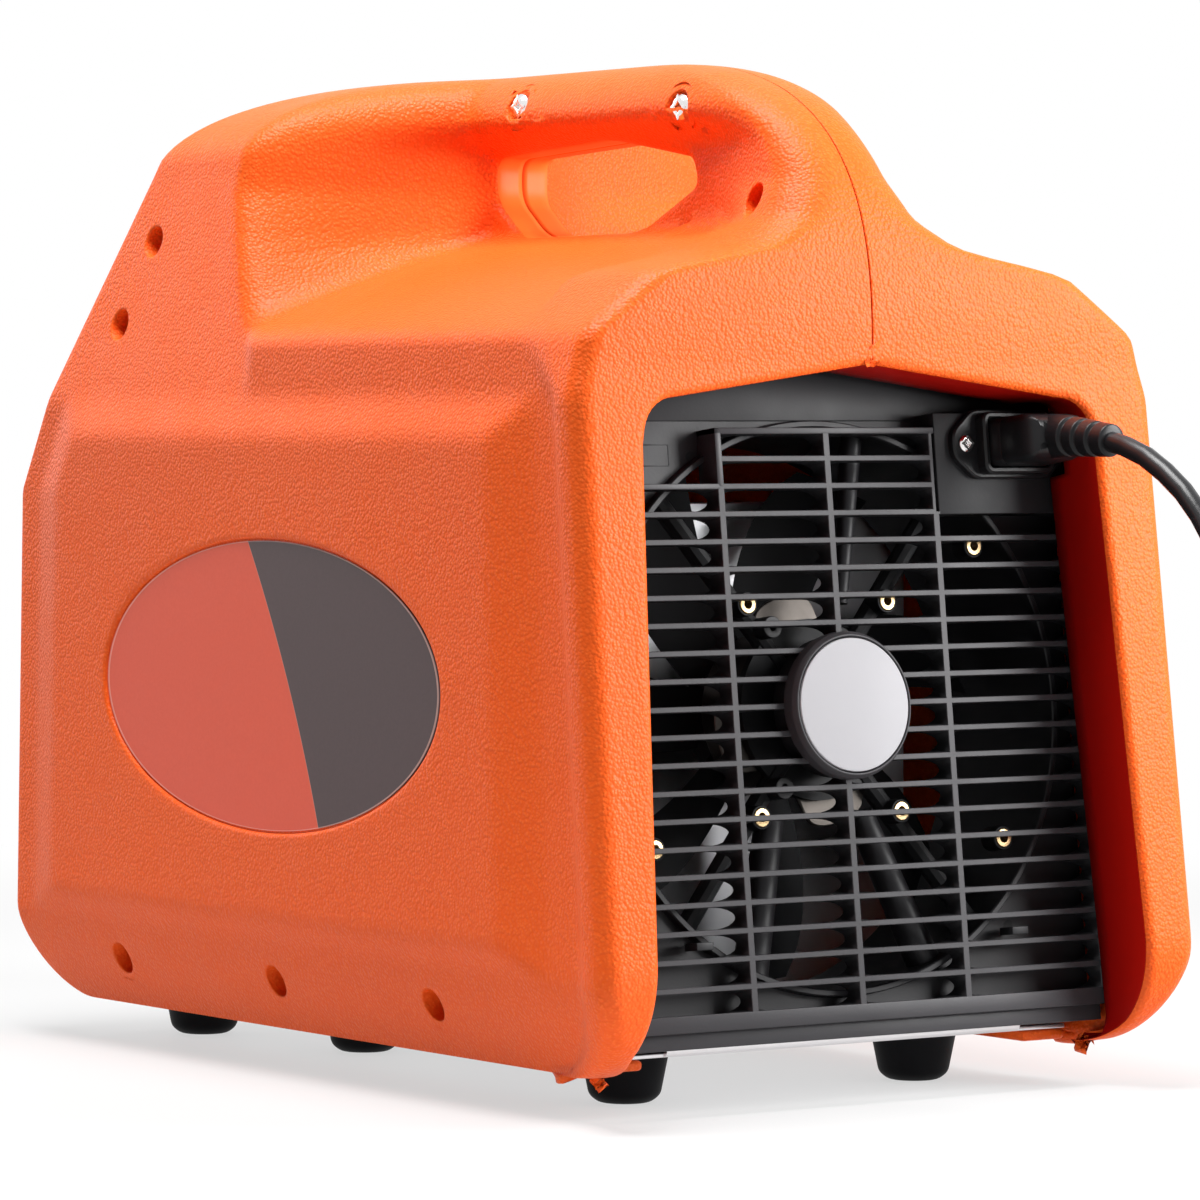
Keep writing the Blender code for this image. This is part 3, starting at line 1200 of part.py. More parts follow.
def build_pump():
    cast = finish("cast_aluminium", (0.55, 0.55, 0.56), 0.5, 1.0)
    half_x, half_y, half_z = CRANKCASE
    low = PUMP_HEIGHT - half_z
    rear = PUMP_Y + half_y
    front = PUMP_Y - half_y
    bore = CRANK_RADIUS + GAP
    block = bmesh.new()
    add_box(block, (-half_x, front, low), (half_x, rear, PUMP_HEIGHT + half_z))
    block = put("crankcase", block, cast)
    hole = bmesh.new()
    add_rod(hole, (0, front - 0.01, PUMP_HEIGHT), (0, rear + 0.01, PUMP_HEIGHT), bore, 20)
    combine(block, cutter("crank_bore", hole), "DIFFERENCE")
    foot = bmesh.new()
    inset = PUMP_FOOT_INSET
    add_box(foot, (inset - half_x, front + inset, BASE_TOP + GAP),
            (half_x - inset, rear - inset, low + inset))
    combine(block, cutter("crankcase_foot", foot), "UNION")
    deep = MOTOR_LENGTH - 0.010
    profile = ((0.0, -deep), (bore, -deep), (bore, 0.0), (MOTOR_RADIUS * 0.9, 0.0),
               (MOTOR_RADIUS, -0.004), (MOTOR_RADIUS, 0.004 - MOTOR_LENGTH),
               (MOTOR_RADIUS * 0.9, -MOTOR_LENGTH), (0.0, -MOTOR_LENGTH))
    turned("pump_motor", profile, finish("motor_black", (0.05, 0.05, 0.05), 0.45, 0.3),
           place=facing(0, front - GAP, PUMP_HEIGHT, (0, 1, 0)), steps=28)
    bottom = front - GAP - deep + GAP
    wheel = rear + GAP
    top = wheel + FLYWHEEL_THICKNESS
    shaft = ((0.0, top), (FLYWHEEL_RADIUS, top), (FLYWHEEL_RADIUS, wheel), (CRANK_RADIUS, wheel),
             (CRANK_RADIUS, bottom), (0.0, bottom))
    turned("drive_shaft", shaft, finish("shaft_steel", STEEL, 0.3, 1.0),
           place=facing(0, 0, PUMP_HEIGHT, (0, 1, 0)), steps=20)
    pitch = CYLINDER_LENGTH / (2 * FIN_COUNT)
    root = CYLINDER_RADIUS - 0.006
    end = CYLINDER_LENGTH + HEAD_THICKNESS
    barrel = [(0.0, end), (HEAD_RADIUS * 0.9, end), (HEAD_RADIUS, end - 0.003),
              (HEAD_RADIUS, CYLINDER_LENGTH)]
    for i in range(FIN_COUNT):
        level = CYLINDER_LENGTH - 2 * i * pitch
        barrel += [(root, level), (root, level - pitch), (CYLINDER_RADIUS, level - pitch),
                   (CYLINDER_RADIUS, level - 2 * pitch)]
    barrel.append((0.0, 0.0))
    for hand, side in (("right", 1), ("left", -1)):
        turned(f"cylinder_{hand}", barrel, cast, steps=18,
               place=facing(side * (half_x + GAP), PUMP_Y, PUMP_HEIGHT, (side, 0, 0)))


def build_cooling():
    wide, deep, tall = CONDENSER
    low = BASE_TOP + GAP
    core = bmesh.new()
    add_box(core, (-wide, CONDENSER_REAR - 2 * deep, low), (wide, CONDENSER_REAR, low + tall))
    put("condenser", core, finish("condenser_aluminium", (0.6, 0.6, 0.62), 0.4, 1.0))
    copper = finish("copper_pipe", COPPER, 0.3, 1.0)
    manifold_rear = FRONT_Y + FRONT_RECESS + PANEL_THICKNESS + 2 * GAP + 2 * MANIFOLD[1]
    condenser_front = CONDENSER_REAR - 2 * deep - GAP
    head_x = CRANKCASE[0] + GAP + CYLINDER_LENGTH + HEAD_THICKNESS / 2 - 0.001
    head_top = PUMP_HEIGHT + HEAD_RADIUS + GAP
    level = VALVE_HEIGHT - 0.012
    up = head_top + 0.012
    bend = 0.010
    high = CONDENSER[2] + BASE_TOP - 0.016
    side = head_x - 0.011
    routes = {
        "suction_pipe": ((0.68 * MANIFOLD[0], manifold_rear, level),
                         (0.68 * MANIFOLD[0], manifold_rear + bend, level),
                         (side, 0.45 * manifold_rear + 0.55 * PUMP_Y, level),
                         (head_x - 0.001, PUMP_Y - 0.014, level - 0.005),
                         (head_x, PUMP_Y, up), (head_x, PUMP_Y, head_top)),
        "discharge_pipe": ((-head_x, PUMP_Y, head_top), (-head_x, PUMP_Y, up),
                           (-head_x + 0.002, PUMP_Y + bend, level + 0.002),
                           (-side, 0.45 * PUMP_Y + 0.55 * condenser_front, high - 0.007),
                           (-side, condenser_front - bend, high), (-side, condenser_front, high)),
        "liquid_pipe": ((0.022 - side, condenser_front, high - bend),
                        (0.022 - side, condenser_front - bend, high - bend),
                        (0.020 - side, PUMP_Y - bend, high - 0.014),
                        (0.018 - side, 0.6 * manifold_rear + 0.4 * PUMP_Y, level + 0.007),
                        (0.018 - side, manifold_rear + bend, level),
                        (0.018 - side, manifold_rear, level)),
    }
    for name, route in routes.items():
        tube(name, smooth_route(route, 4.0 * PIPE_RADIUS), PIPE_RADIUS, copper)


def build_machine():
    plane = rear_plane()
    build_shells(plane)
    build_case_screws()
    build_base()
    plastic = finish("charcoal_plastic", CHARCOAL, 0.5)
    black = finish("black_moulding", BLACK, 0.45)
    build_grille(plane, plastic)
    build_shroud(plane, plastic)
    build_fan(plane)
    build_cord(build_inlet(plane, black), black)
    build_front()
    build_pump()
    build_cooling()


build_machine()
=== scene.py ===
"""Looks of the refrigerant recovery machine, worked out around its packed construction model.

+Y is the rear with the fan grille, inlet and cord, -Y the operator's side, +X the labelled side.
"""
import math

import bmesh
import bpy
import numpy as np
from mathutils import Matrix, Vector


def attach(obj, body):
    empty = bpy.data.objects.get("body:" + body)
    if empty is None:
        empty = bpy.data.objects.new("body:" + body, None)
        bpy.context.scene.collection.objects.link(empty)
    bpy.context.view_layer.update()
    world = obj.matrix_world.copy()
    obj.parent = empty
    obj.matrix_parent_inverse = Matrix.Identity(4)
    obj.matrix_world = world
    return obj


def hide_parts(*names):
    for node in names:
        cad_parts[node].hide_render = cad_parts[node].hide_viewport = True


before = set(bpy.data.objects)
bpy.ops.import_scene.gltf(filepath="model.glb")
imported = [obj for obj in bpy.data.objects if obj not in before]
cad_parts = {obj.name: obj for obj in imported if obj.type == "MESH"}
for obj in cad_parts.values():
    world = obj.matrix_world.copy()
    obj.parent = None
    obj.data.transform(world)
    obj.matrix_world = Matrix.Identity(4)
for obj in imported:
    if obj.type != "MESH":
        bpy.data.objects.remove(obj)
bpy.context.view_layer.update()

# Camera of the photograph
CAMERA_PLACE = (1.1920, 1.7462, 0.2315)
CAMERA_TURN = 145.5
CAMERA_PITCH = -1.7817
CAMERA_LENS = 176.5
SENSOR = 36.0

# Sizes shared with the construction model
LENGTH, WIDTH, HEIGHT = 0.400, 0.250, 0.355
REAR_Y, FRONT_Y = LENGTH / 2, -LENGTH / 2 - 0.0035
SHELL_WALL = 0.003
SHELL_BOTTOM = 0.015
SEAM = 0.0002
REAR_LEAN = 0.115
FRONT_CORNER, REAR_CORNER = 0.035, 0.040
SLANT_START, SLANT = 0.204, 0.56
TOP_ROUND, TOP_FRONT_LENGTH = 0.029, 0.071
REAR_ROUND_HEIGHT, REAR_ROUND_LENGTH = 0.106, 0.134
SIDE_DRAFT = 0.018
PANEL_RAISE = 0.005
PANEL_BOTTOM, PANEL_TOP = 0.047, 0.238
PANEL_TOP_CHAMFER, PANEL_BOTTOM_CHAMFER = 0.013, 0.009
PANEL_FRONT_MARGIN, PANEL_FRONT_CHAMFER = 0.016, 0.020
PANEL_REAR_MARGIN, PANEL_REAR_CHAMFER = 0.040, 0.023
BAND_RAISE, BAND_WIDTH, BAND_STEP = 0.0045, 0.012, 0.009
BOTTOM_TUCK = 0.014
SHOULDER, SHOULDER_HALF_WIDTH = 0.259, 0.1155
CORNER_RADIUS = 0.007
WEB, BAR_SWELL, BAR_CENTRE = 0.013, 0.010, 0.336
HOLE_BOTTOM, HOLE_TOP, HOLE_FRONT, HOLE_REAR = 0.296, 0.329, -0.038, 0.088
HOOD_END = -0.075
OPENING_HALF_WIDTH, OPENING_DRAFT = 0.0985, 0.045
OPENING_PEAK, OPENING_FALL, OPENING_CORNER = 0.249, 0.011, 0.0135
HUB_HEIGHT = 0.134
GRILLE_RECESS = 0.0290
ROOF_DRAFT = 0.085
EDGE_RADIUS = 0.0032
WALL_INSET = 0.0006
FAR_HOOD_SHIFT, FAR_HOOD_FROM = 0.012, 0.285
HOOD_LEAN = 0.0195
PILLAR_RADIUS, PILLAR_RADIUS_FROM = 0.016, 0.300
FRONT_LIP = 0.0032
SEAM_FROM = 0.2900
INLET_ROOM, INLET_ROOM_LOW, INLET_ROOM_HIGH = 0.0085, 0.208, 0.237
FLANGE_LOW, FLANGE_HIGH = (0.0800, -0.1550, 0.0151), (0.0990, 0.1540, 0.0186)
FACE_COLUMNS, EDGE_COLUMNS, EDGE_LOOPS = 15, 6, 5
HOLE_EDGE_RING = 7
CASE_SCREWS = ((-0.130, 0.0330, 0.016), (-0.022, 0.0330, 0.016), (0.080, 0.0330, 0.016),
               (-0.140, 0.2655, 0.016), (-0.127, 0.2957, 0.016), (0.1385, 0.3045, 0.018))
HANDLE_SCREWS = ((-0.0096, 0.3425, 0.0035), (0.0913, 0.3380, 0.0035))
SCREW_RECESS = 0.0060
LABEL_CENTRE, LABEL_HALF, LABEL_DEPTH = (-0.0165, 0.1375), (0.1125, 0.0515), 0.0016
LABEL_MARGIN, FILM_PROUD, FILM_SUNK = 0.0008, 0.0006, 0.0002
DIVISION_TOP, DIVISION_SLOPE, DIVISION_SHIFT, DIVISION_BEND = 0.188, 0.501, 0.0266, 1.5

# Cord, its route in the construction model
CORD_DIAMETER = 0.0072
INLET_X, INLET_UP = -0.077, 0.0885
PLUG_END, RELIEF_LENGTH, RELIEF_DROP = 0.031, 0.027, 0.0051
COIL_CENTRE, COIL_RADIUS = (-0.135, 0.290), 0.0396
COIL_MEETS_AT = 50.0
COIL_ROUNDS, COIL_TAIL = 5, 130 / 360
PLUG_HEIGHT = 0.0185
RELIEF_END = 0.0056
WALL_PLUG_TURN = 20.0
CORD_LOW = 0.0001
CORD_SPACING = 0.011
CORD_ROUTE = ((-0.0770, 0.2175, 0.2203), (-0.0772, 0.2310, 0.2140), (-0.0774, 0.2435, 0.2055),
              (-0.0776, 0.2545, 0.1940), (-0.0778, 0.2640, 0.1790), (-0.0780, 0.2705, 0.1600),
              (-0.0782, 0.2740, 0.1370), (-0.0784, 0.2755, 0.1120), (-0.0786, 0.2765, 0.0860),
              (-0.0788, 0.2785, 0.0600), (-0.0790, 0.2830, 0.0360), (-0.0791, 0.2920, 0.0170),
              (-0.0792, 0.3040, 0.0070), (-0.0810, 0.3170, 0.0037))


# Meshes

def grid_faces(rows, cols, start=0, round_rows=False, round_cols=False):
    """Four-sided faces between neighbouring points of a grid counted row by row."""
    index = start + np.arange(rows * cols).reshape(rows, cols)
    if round_rows:
        index = np.concatenate([index, index[:1]])
    if round_cols:
        index = np.concatenate([index, index[:, :1]], axis=1)
    return np.stack([index[:-1, :-1], index[:-1, 1:], index[1:, 1:], index[1:, :-1]],
                    axis=-1).reshape(-1, 4)


class Form:
    """Grids of points gathered into one mesh, with a material number for each grid."""

    def __init__(self):
        self.points, self.faces, self.kinds, self.count = [], [], [], 0

    def add(self, points, faces, kind=0):
        self.points.append(points.reshape(-1, 3))
        self.faces.append(faces + self.count)
        self.kinds.append(np.full(len(faces), kind))
        self.count += points.size // 3
        return self

    def grid(self, points, round_rows=False, round_cols=False, kind=0):
        rows, cols = points.shape[:2]
        return self.add(points, grid_faces(rows, cols, 0, round_rows, round_cols), kind)

    def make(self, name, materials, body="case", smooth=40, weld=1e-6, outward=True):
        points = np.concatenate(self.points)
        faces = np.concatenate(self.faces)
        kinds = np.concatenate(self.kinds)
        keys, place = np.unique(np.round(points / weld).astype(np.int64), axis=0,
                                return_inverse=True)
        first = np.zeros(len(keys), np.int64)
        first[place.ravel()[::-1]] = np.arange(len(points))[::-1]
        points = points[first]
        corners, faces = merged_corners(place.ravel()[faces])
        used, faces = np.unique(faces, return_inverse=True)
        points = points[used]
        kinds = kinds[corners[1]]
        mesh = bpy.data.meshes.new(name)
        counts = corners[0]
        mesh.vertices.add(len(points))
        mesh.vertices.foreach_set("co", points.astype(np.float32).ravel())
        mesh.loops.add(len(faces))
        mesh.loops.foreach_set("vertex_index", faces.astype(np.int32).ravel())
        mesh.polygons.add(len(counts))
        starts = np.concatenate([[0], np.cumsum(counts)[:-1]])
        mesh.polygons.foreach_set("loop_start", starts.astype(np.int32))
        mesh.polygons.foreach_set("material_index", kinds.astype(np.int32))
        mesh.update(calc_edges=True)
        mesh.validate()
        if outward:
            turn_outward(mesh)
        for material in materials:
            mesh.materials.append(material)
        mesh.shade_smooth()
        mesh.set_sharp_from_angle(angle=math.radians(smooth))
        item = bpy.data.objects.new(name, mesh)
        bpy.context.scene.collection.objects.link(item)
        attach(item, body)
        return item


def merged_corners(faces):
    """Faces as one run of corners without repeats; faces with under three corners go."""
    keep = faces != np.roll(faces, 1, axis=1)
    size = keep.sum(axis=1)
    whole = size >= 3
    return (size[whole], np.nonzero(whole)[0]), faces[whole][keep[whole]]


def turn_outward(mesh):
    """Recalculates the normals of a closed, merged mesh so that they point out of it."""
    form = bmesh.new()
    form.from_mesh(mesh)
    bmesh.ops.recalc_face_normals(form, faces=form.faces[:])
    form.to_mesh(mesh)
    form.free()


def basis(origin, along, up=(0.0, 0.0, 1.0)):
    """Columns x, y, z of a frame whose own Z runs along the given direction, and its origin."""
    z = np.array(along, float)
    z = z / np.linalg.norm(z)
    guide = np.array(up, float)
    if abs(guide @ z) > 0.95:
        guide = np.array((0.0, 1.0, 0.0))
    x = np.cross(guide, z)
    x = x / np.linalg.norm(x)
    return np.stack([x, np.cross(z, x), z], axis=1), np.array(origin, float)


def placed(points, where):
    """Points of a frame's own space in the space of the machine."""
    turn, origin = where
    return points @ turn.T + origin


def turned(profile, where, steps=48, flute=None):
    """Each (radius, height) point of the profile goes once round the frame's own Z axis."""
    profile = np.array(profile, float)
    turn = np.linspace(0, 2 * np.pi, steps, endpoint=False)[None, :]
    share = 1 if flute is None else flute(turn, profile[:, 1:])
    radius = profile[:, :1] * share + 0 * turn
    points = np.stack([radius * np.cos(turn), radius * np.sin(turn),
                       profile[:, 1:] + 0 * turn], axis=-1)
    return placed(points, where)


def rounded_profile(corners, radius, steps=4):
    """An open run of (radius, height) corners, each inner one rounded by an arc."""
    corners = np.array(corners, float)
    radius = np.broadcast_to(radius, len(corners))
    run = [corners[:1]]
    for a, b, c, r in zip(corners, corners[1:], corners[2:], radius[1:]):
        before, after = a - b, c - b
        one, two = np.linalg.norm(before), np.linalg.norm(after)
        reach = min(r, 0.45 * one, 0.45 * two)
        t = np.linspace(0, 1, steps + 1)[:, None]
        start, end = b + before / one * reach, b + after / two * reach
        run.append((1 - t) ** 2 * start + 2 * t * (1 - t) * b + t ** 2 * end)
    run.append(corners[-1:])
    return np.concatenate(run)


def rounded_rectangle(half_x, half_y, radius, steps=4):
    """Outline of a rectangle with round corners, going round once, anticlockwise."""
    turn = np.linspace(0, np.pi / 2, steps + 1)
    arc = np.stack([np.cos(turn), np.sin(turn)], axis=-1) * radius
    parts = []
    for quarter, (sx, sy) in enumerate(((1, 1), (-1, 1), (-1, -1), (1, -1))):
        angle = quarter * np.pi / 2
        spin = np.array([[np.cos(angle), -np.sin(angle)], [np.sin(angle), np.cos(angle)]])
        parts.append(arc @ spin.T + (sx * (half_x - radius), sy * (half_y - radius)))
    return np.concatenate(parts)


def outline_normals(outline):
    """Unit normals of a closed outline that goes anticlockwise, pointing out of it."""
    along = np.roll(outline, -1, axis=0) - np.roll(outline, 1, axis=0)
    normal = np.stack([along[:, 1], -along[:, 0]], axis=-1)
    return normal / np.linalg.norm(normal, axis=1, keepdims=True)


def lofted(outline, stations, where, capped=True):
    """A closed outline carried along own Z: each station gives a height and an inset."""
    normal = outline_normals(outline)
    rows = [np.column_stack([outline - normal * inset, np.full(len(outline), height)])
            for height, inset in stations]
    if capped:
        rows = [rows[0] * (0, 0, 1) + (*outline.mean(axis=0), 0), *rows,
                rows[-1] * (0, 0, 1) + (*outline.mean(axis=0), 0)]
    return placed(np.stack(rows), where)


def block(half, where, radius=0.0006, corner=None, steps=3):
    """A box with rounded edges, centred on the frame, given by its half sizes."""
    x, y, z = half
    corner = min(corner or 2 * radius, x, y) * 0.999
    outline = rounded_rectangle(x, y, corner, steps)
    turn = np.linspace(0, np.pi / 2, 4)
    low = [(-z + radius * (1 - np.cos(t)), radius * (1 - np.sin(t))) for t in turn]
    high = [(-a, b) for a, b in reversed(low)]
    return lofted(outline, low + high, where)


def tube_points(path, radius, sides=12):
    """Circles square to a path, one for each of its points; radius may vary along it."""
    path = np.array(path, float)
    along = np.gradient(path, axis=0)
    along /= np.linalg.norm(along, axis=1, keepdims=True)
    side = np.cross(along, (0.0, 0.0, 1.0))
    side /= np.maximum(np.linalg.norm(side, axis=1, keepdims=True), 1e-9)
    over = np.cross(side, along)
    turn = np.linspace(0, 2 * np.pi, sides, endpoint=False)[None, :, None]
    radius = np.broadcast_to(radius, len(path))[:, None, None]
    return path[:, None] + radius * (np.cos(turn) * side[:, None] + np.sin(turn) * over[:, None])


def closed_tube(path, radius, sides=12):
    """The circles along a path with both ends drawn to a point on the path."""
    rings = tube_points(path, radius, sides)
    ends = rings.mean(axis=1, keepdims=True)
    first = np.repeat(ends[:1], sides, axis=1)
    last = np.repeat(ends[-1:], sides, axis=1)
    return np.concatenate([first, rings, last])


def smooth_route(route, spacing):
    """Evenly spaced points on a smooth curve through the route's own points."""
    ends = np.array(route, float)
    padded = np.concatenate([[2 * ends[0] - ends[1]], ends, [2 * ends[-1] - ends[-2]]])
    t = np.linspace(0.0, 1.0, 24, endpoint=False)[None, :, None]
    a, b, c, d = (padded[k:len(padded) - 3 + k, None] for k in range(4))
    dense = 0.5 * (2 * b + (c - a) * t + (2 * a - 5 * b + 4 * c - d) * t ** 2
                   + (3 * b - a - 3 * c + d) * t ** 3)
    dense = np.concatenate([dense.reshape(-1, 3), ends[-1:]])
    run = np.concatenate([[0.0], np.cumsum(np.linalg.norm(np.diff(dense, axis=0), axis=1))])
    marks = np.linspace(0.0, run[-1], max(3, round(run[-1] / spacing)) + 1)
    return np.stack([np.interp(marks, run, dense[:, k]) for k in range(3)], axis=1)


# Materials

class Sock:
    """A node socket with arithmetic: each operator adds the Math node that works it out."""

    def __init__(self, tree, socket):
        self.tree, self.socket = tree, socket

    def node(self, kind, settings=None, **values):
        return add_node(self.tree, kind, settings, **values)

    def maths(self, operation, *values):
        made = self.tree.nodes.new("ShaderNodeMath")
        made.operation = operation
        for slot, value in zip(made.inputs, values):
            feed(self.tree, slot, value)
        return Sock(self.tree, made.outputs[0])

    def __add__(self, other):
        return self.maths("ADD", self, other)

    def __sub__(self, other):
        return self.maths("SUBTRACT", self, other)

    def __mul__(self, other):
        return self.maths("MULTIPLY", self, other)

    def __truediv__(self, other):
        return self.maths("DIVIDE", self, other)

    def __pow__(self, other):
        return self.maths("POWER", self, other)

    def __rsub__(self, other):
        return self.maths("SUBTRACT", other, self)

    def step(self, low, high):
        """0 below low, 1 above high, eased in between."""
        return self.node("ShaderNodeMapRange", {"interpolation_type": "SMOOTHSTEP"},
                         Value=self, From_Min=low, From_Max=high)[0]


def feed(tree, slot, value):
    if isinstance(value, Sock):
        tree.links.new(value.socket, slot)
    elif value is not None:
        slot.default_value = value


def add_node(tree, kind, settings=None, **values):
    """Any node: its settings first, then the values or links of its named sockets."""
    made = tree.nodes.new(kind)
    for key, value in (settings or {}).items():
        setattr(made, key, value)
    for key, value in values.items():
        name = key.replace("_", " ")
        slot = next(s for s in made.inputs if s.name == name and s.enabled)
        feed(tree, slot, value)
    return [Sock(tree, s) for s in made.outputs]


class Finish:
    """One material: a Principled shader, and short ways to the patterns that feed it."""

    def __init__(self, name, roughness=0.5, metallic=0.0, **constants):
        self.material = bpy.data.materials.new(name)
        self.material.use_nodes = True
        self.tree = self.material.node_tree
        self.shader = self.tree.nodes["Principled BSDF"]
        self.set(Roughness=roughness, Metallic=metallic)
        for key, value in constants.items():
            self.shader.inputs[key.replace("_", " ")].default_value = value
        self.place = self.node("ShaderNodeTexCoord")[3]

    def node(self, kind, settings=None, **values):
        return add_node(self.tree, kind, settings, **values)

    def set(self, **values):
        for key, value in values.items():
            feed(self.tree, self.shader.inputs[key.replace("_", " ")], value)
        return self

    def noise(self, scale, detail=3.0, roughness=0.5, where=None):
        return self.node("ShaderNodeTexNoise", None, Vector=where or self.place, Scale=scale,
                         Detail=detail, Roughness=roughness)[0]

    def stretched(self, scale):
        return self.node("ShaderNodeMapping", None, Vector=self.place, Scale=scale)[0]

    def pebbles(self, scale, smooth):
        return self.node("ShaderNodeTexVoronoi", {"feature": "SMOOTH_F1"}, Vector=self.place,
                         Scale=scale, Smoothness=smooth)[0]

    def axes(self):
        return self.node("ShaderNodeSeparateXYZ", None, Vector=self.place)

    def mix(self, factor, first, second):
        made = self.tree.nodes.new("ShaderNodeMix")
        made.data_type = "RGBA"
        feed(self.tree, made.inputs[0], factor)
        for slot, colour in ((6, first), (7, second)):
            feed(self.tree, made.inputs[slot],
                 colour if isinstance(colour, Sock) else (*colour, 1.0))
        return Sock(self.tree, made.outputs[2])

    def bump(self, height, strength, distance):
        self.set(Normal=self.node("ShaderNodeBump", None, Height=height, Strength=strength,
                                  Distance=distance)[0])
        return self


def leather_grain(finish, pebble=0.0012, depth=0.00028):
    """Raised pebbles just over a millimetre across, with a finer noise over them."""
    cells = finish.pebbles(1 / pebble, 0.25)
    warp = finish.noise(0.8 / pebble, 2.0)
    grain = (1 - cells) * 1.2 + warp * 0.4
    finish.bump(grain, 0.9, depth)
    return grain


def moulded_orange(name, inside=False):
    """Case plastic: pebbled outside, with a painted highlight on the pebble tips; nearly smooth where
    hands reach through.
    """
    finish = Finish(name, 0.44, 0.0, Specular_IOR_Level=0.16)
    soft = finish.noise(6.0, 2.0)
    if inside:
        finish.set(Base_Color=finish.mix(soft, (0.92, 0.165, 0.022), (0.95, 0.190, 0.030)),
                   Roughness=finish.noise(35.0) * 0.12 + 0.36)
        return finish.bump(finish.noise(240.0), 0.25, 0.0002).material
    grain = leather_grain(finish)
    base = finish.mix(soft, (0.850, 0.100, 0.009), (0.890, 0.116, 0.012))
    # painted highlight: the raised pebble tips take a paler, yellower orange
    finish.set(Base_Color=finish.mix(grain.step(0.75, 1.45), base, (0.93, 0.155, 0.022)),
               Roughness=finish.noise(60.0) * 0.14 + 0.37)
    return finish.material


def orange_with_painted_shade():
    """Wall inside the rear opening: a darker, redder copy of the case orange with painted shade that
    deepens further in, and faint upright ribs.
    """
    finish = Finish("opening_orange_painted_shade", 0.4, 0.0, Specular_IOR_Level=0.06)
    across, along, up = finish.axes()
    depth = (along + up * 0.115).step(0.170, 0.200)
    rib = ((across * 1400.0).maths("SINE") * 0.5 + 0.5) * finish.noise(120.0)
    # painted shade: the deeper part of the opening's wall goes to a near black red
    deep = finish.mix(rib, (0.200, 0.0016, 0.0012), (0.260, 0.0026, 0.0018))
    finish.set(Base_Color=finish.mix(depth, deep, (0.420, 0.0060, 0.0026)),
               Roughness=finish.noise(90.0) * 0.15 + 0.35)
    return finish.bump(finish.noise(400.0), 0.2, 0.0001).material


def dark_plastic(name, low, high, roughness=0.42, fine=900.0, depth=0.00006, shine=0.22):
    """Dark moulding: slow change between two greys, a fine tooth and a little shine."""
    finish = Finish(name, roughness, Specular_IOR_Level=shine)
    finish.set(Base_Color=finish.mix(finish.noise(14.0), low, high),
               Roughness=finish.noise(70.0) * 0.16 + roughness - 0.08)
    return finish.bump(finish.noise(fine, 4.0), 0.5, depth).material


def plain_metal(name, low, high, roughness, brush=None, depth=0.00003):
    """Metal with fine lines: brush is the pattern's scale along each axis."""
    finish = Finish(name, roughness, 1.0)
    where = finish.stretched(brush or (400.0, 400.0, 400.0))
    lines = finish.noise(1.0, 4.0, 0.6, where)
    finish.set(Base_Color=finish.mix(lines, low, high), Roughness=lines * 0.22 + roughness - 0.1)
    return finish.bump(lines, 0.35, depth).material


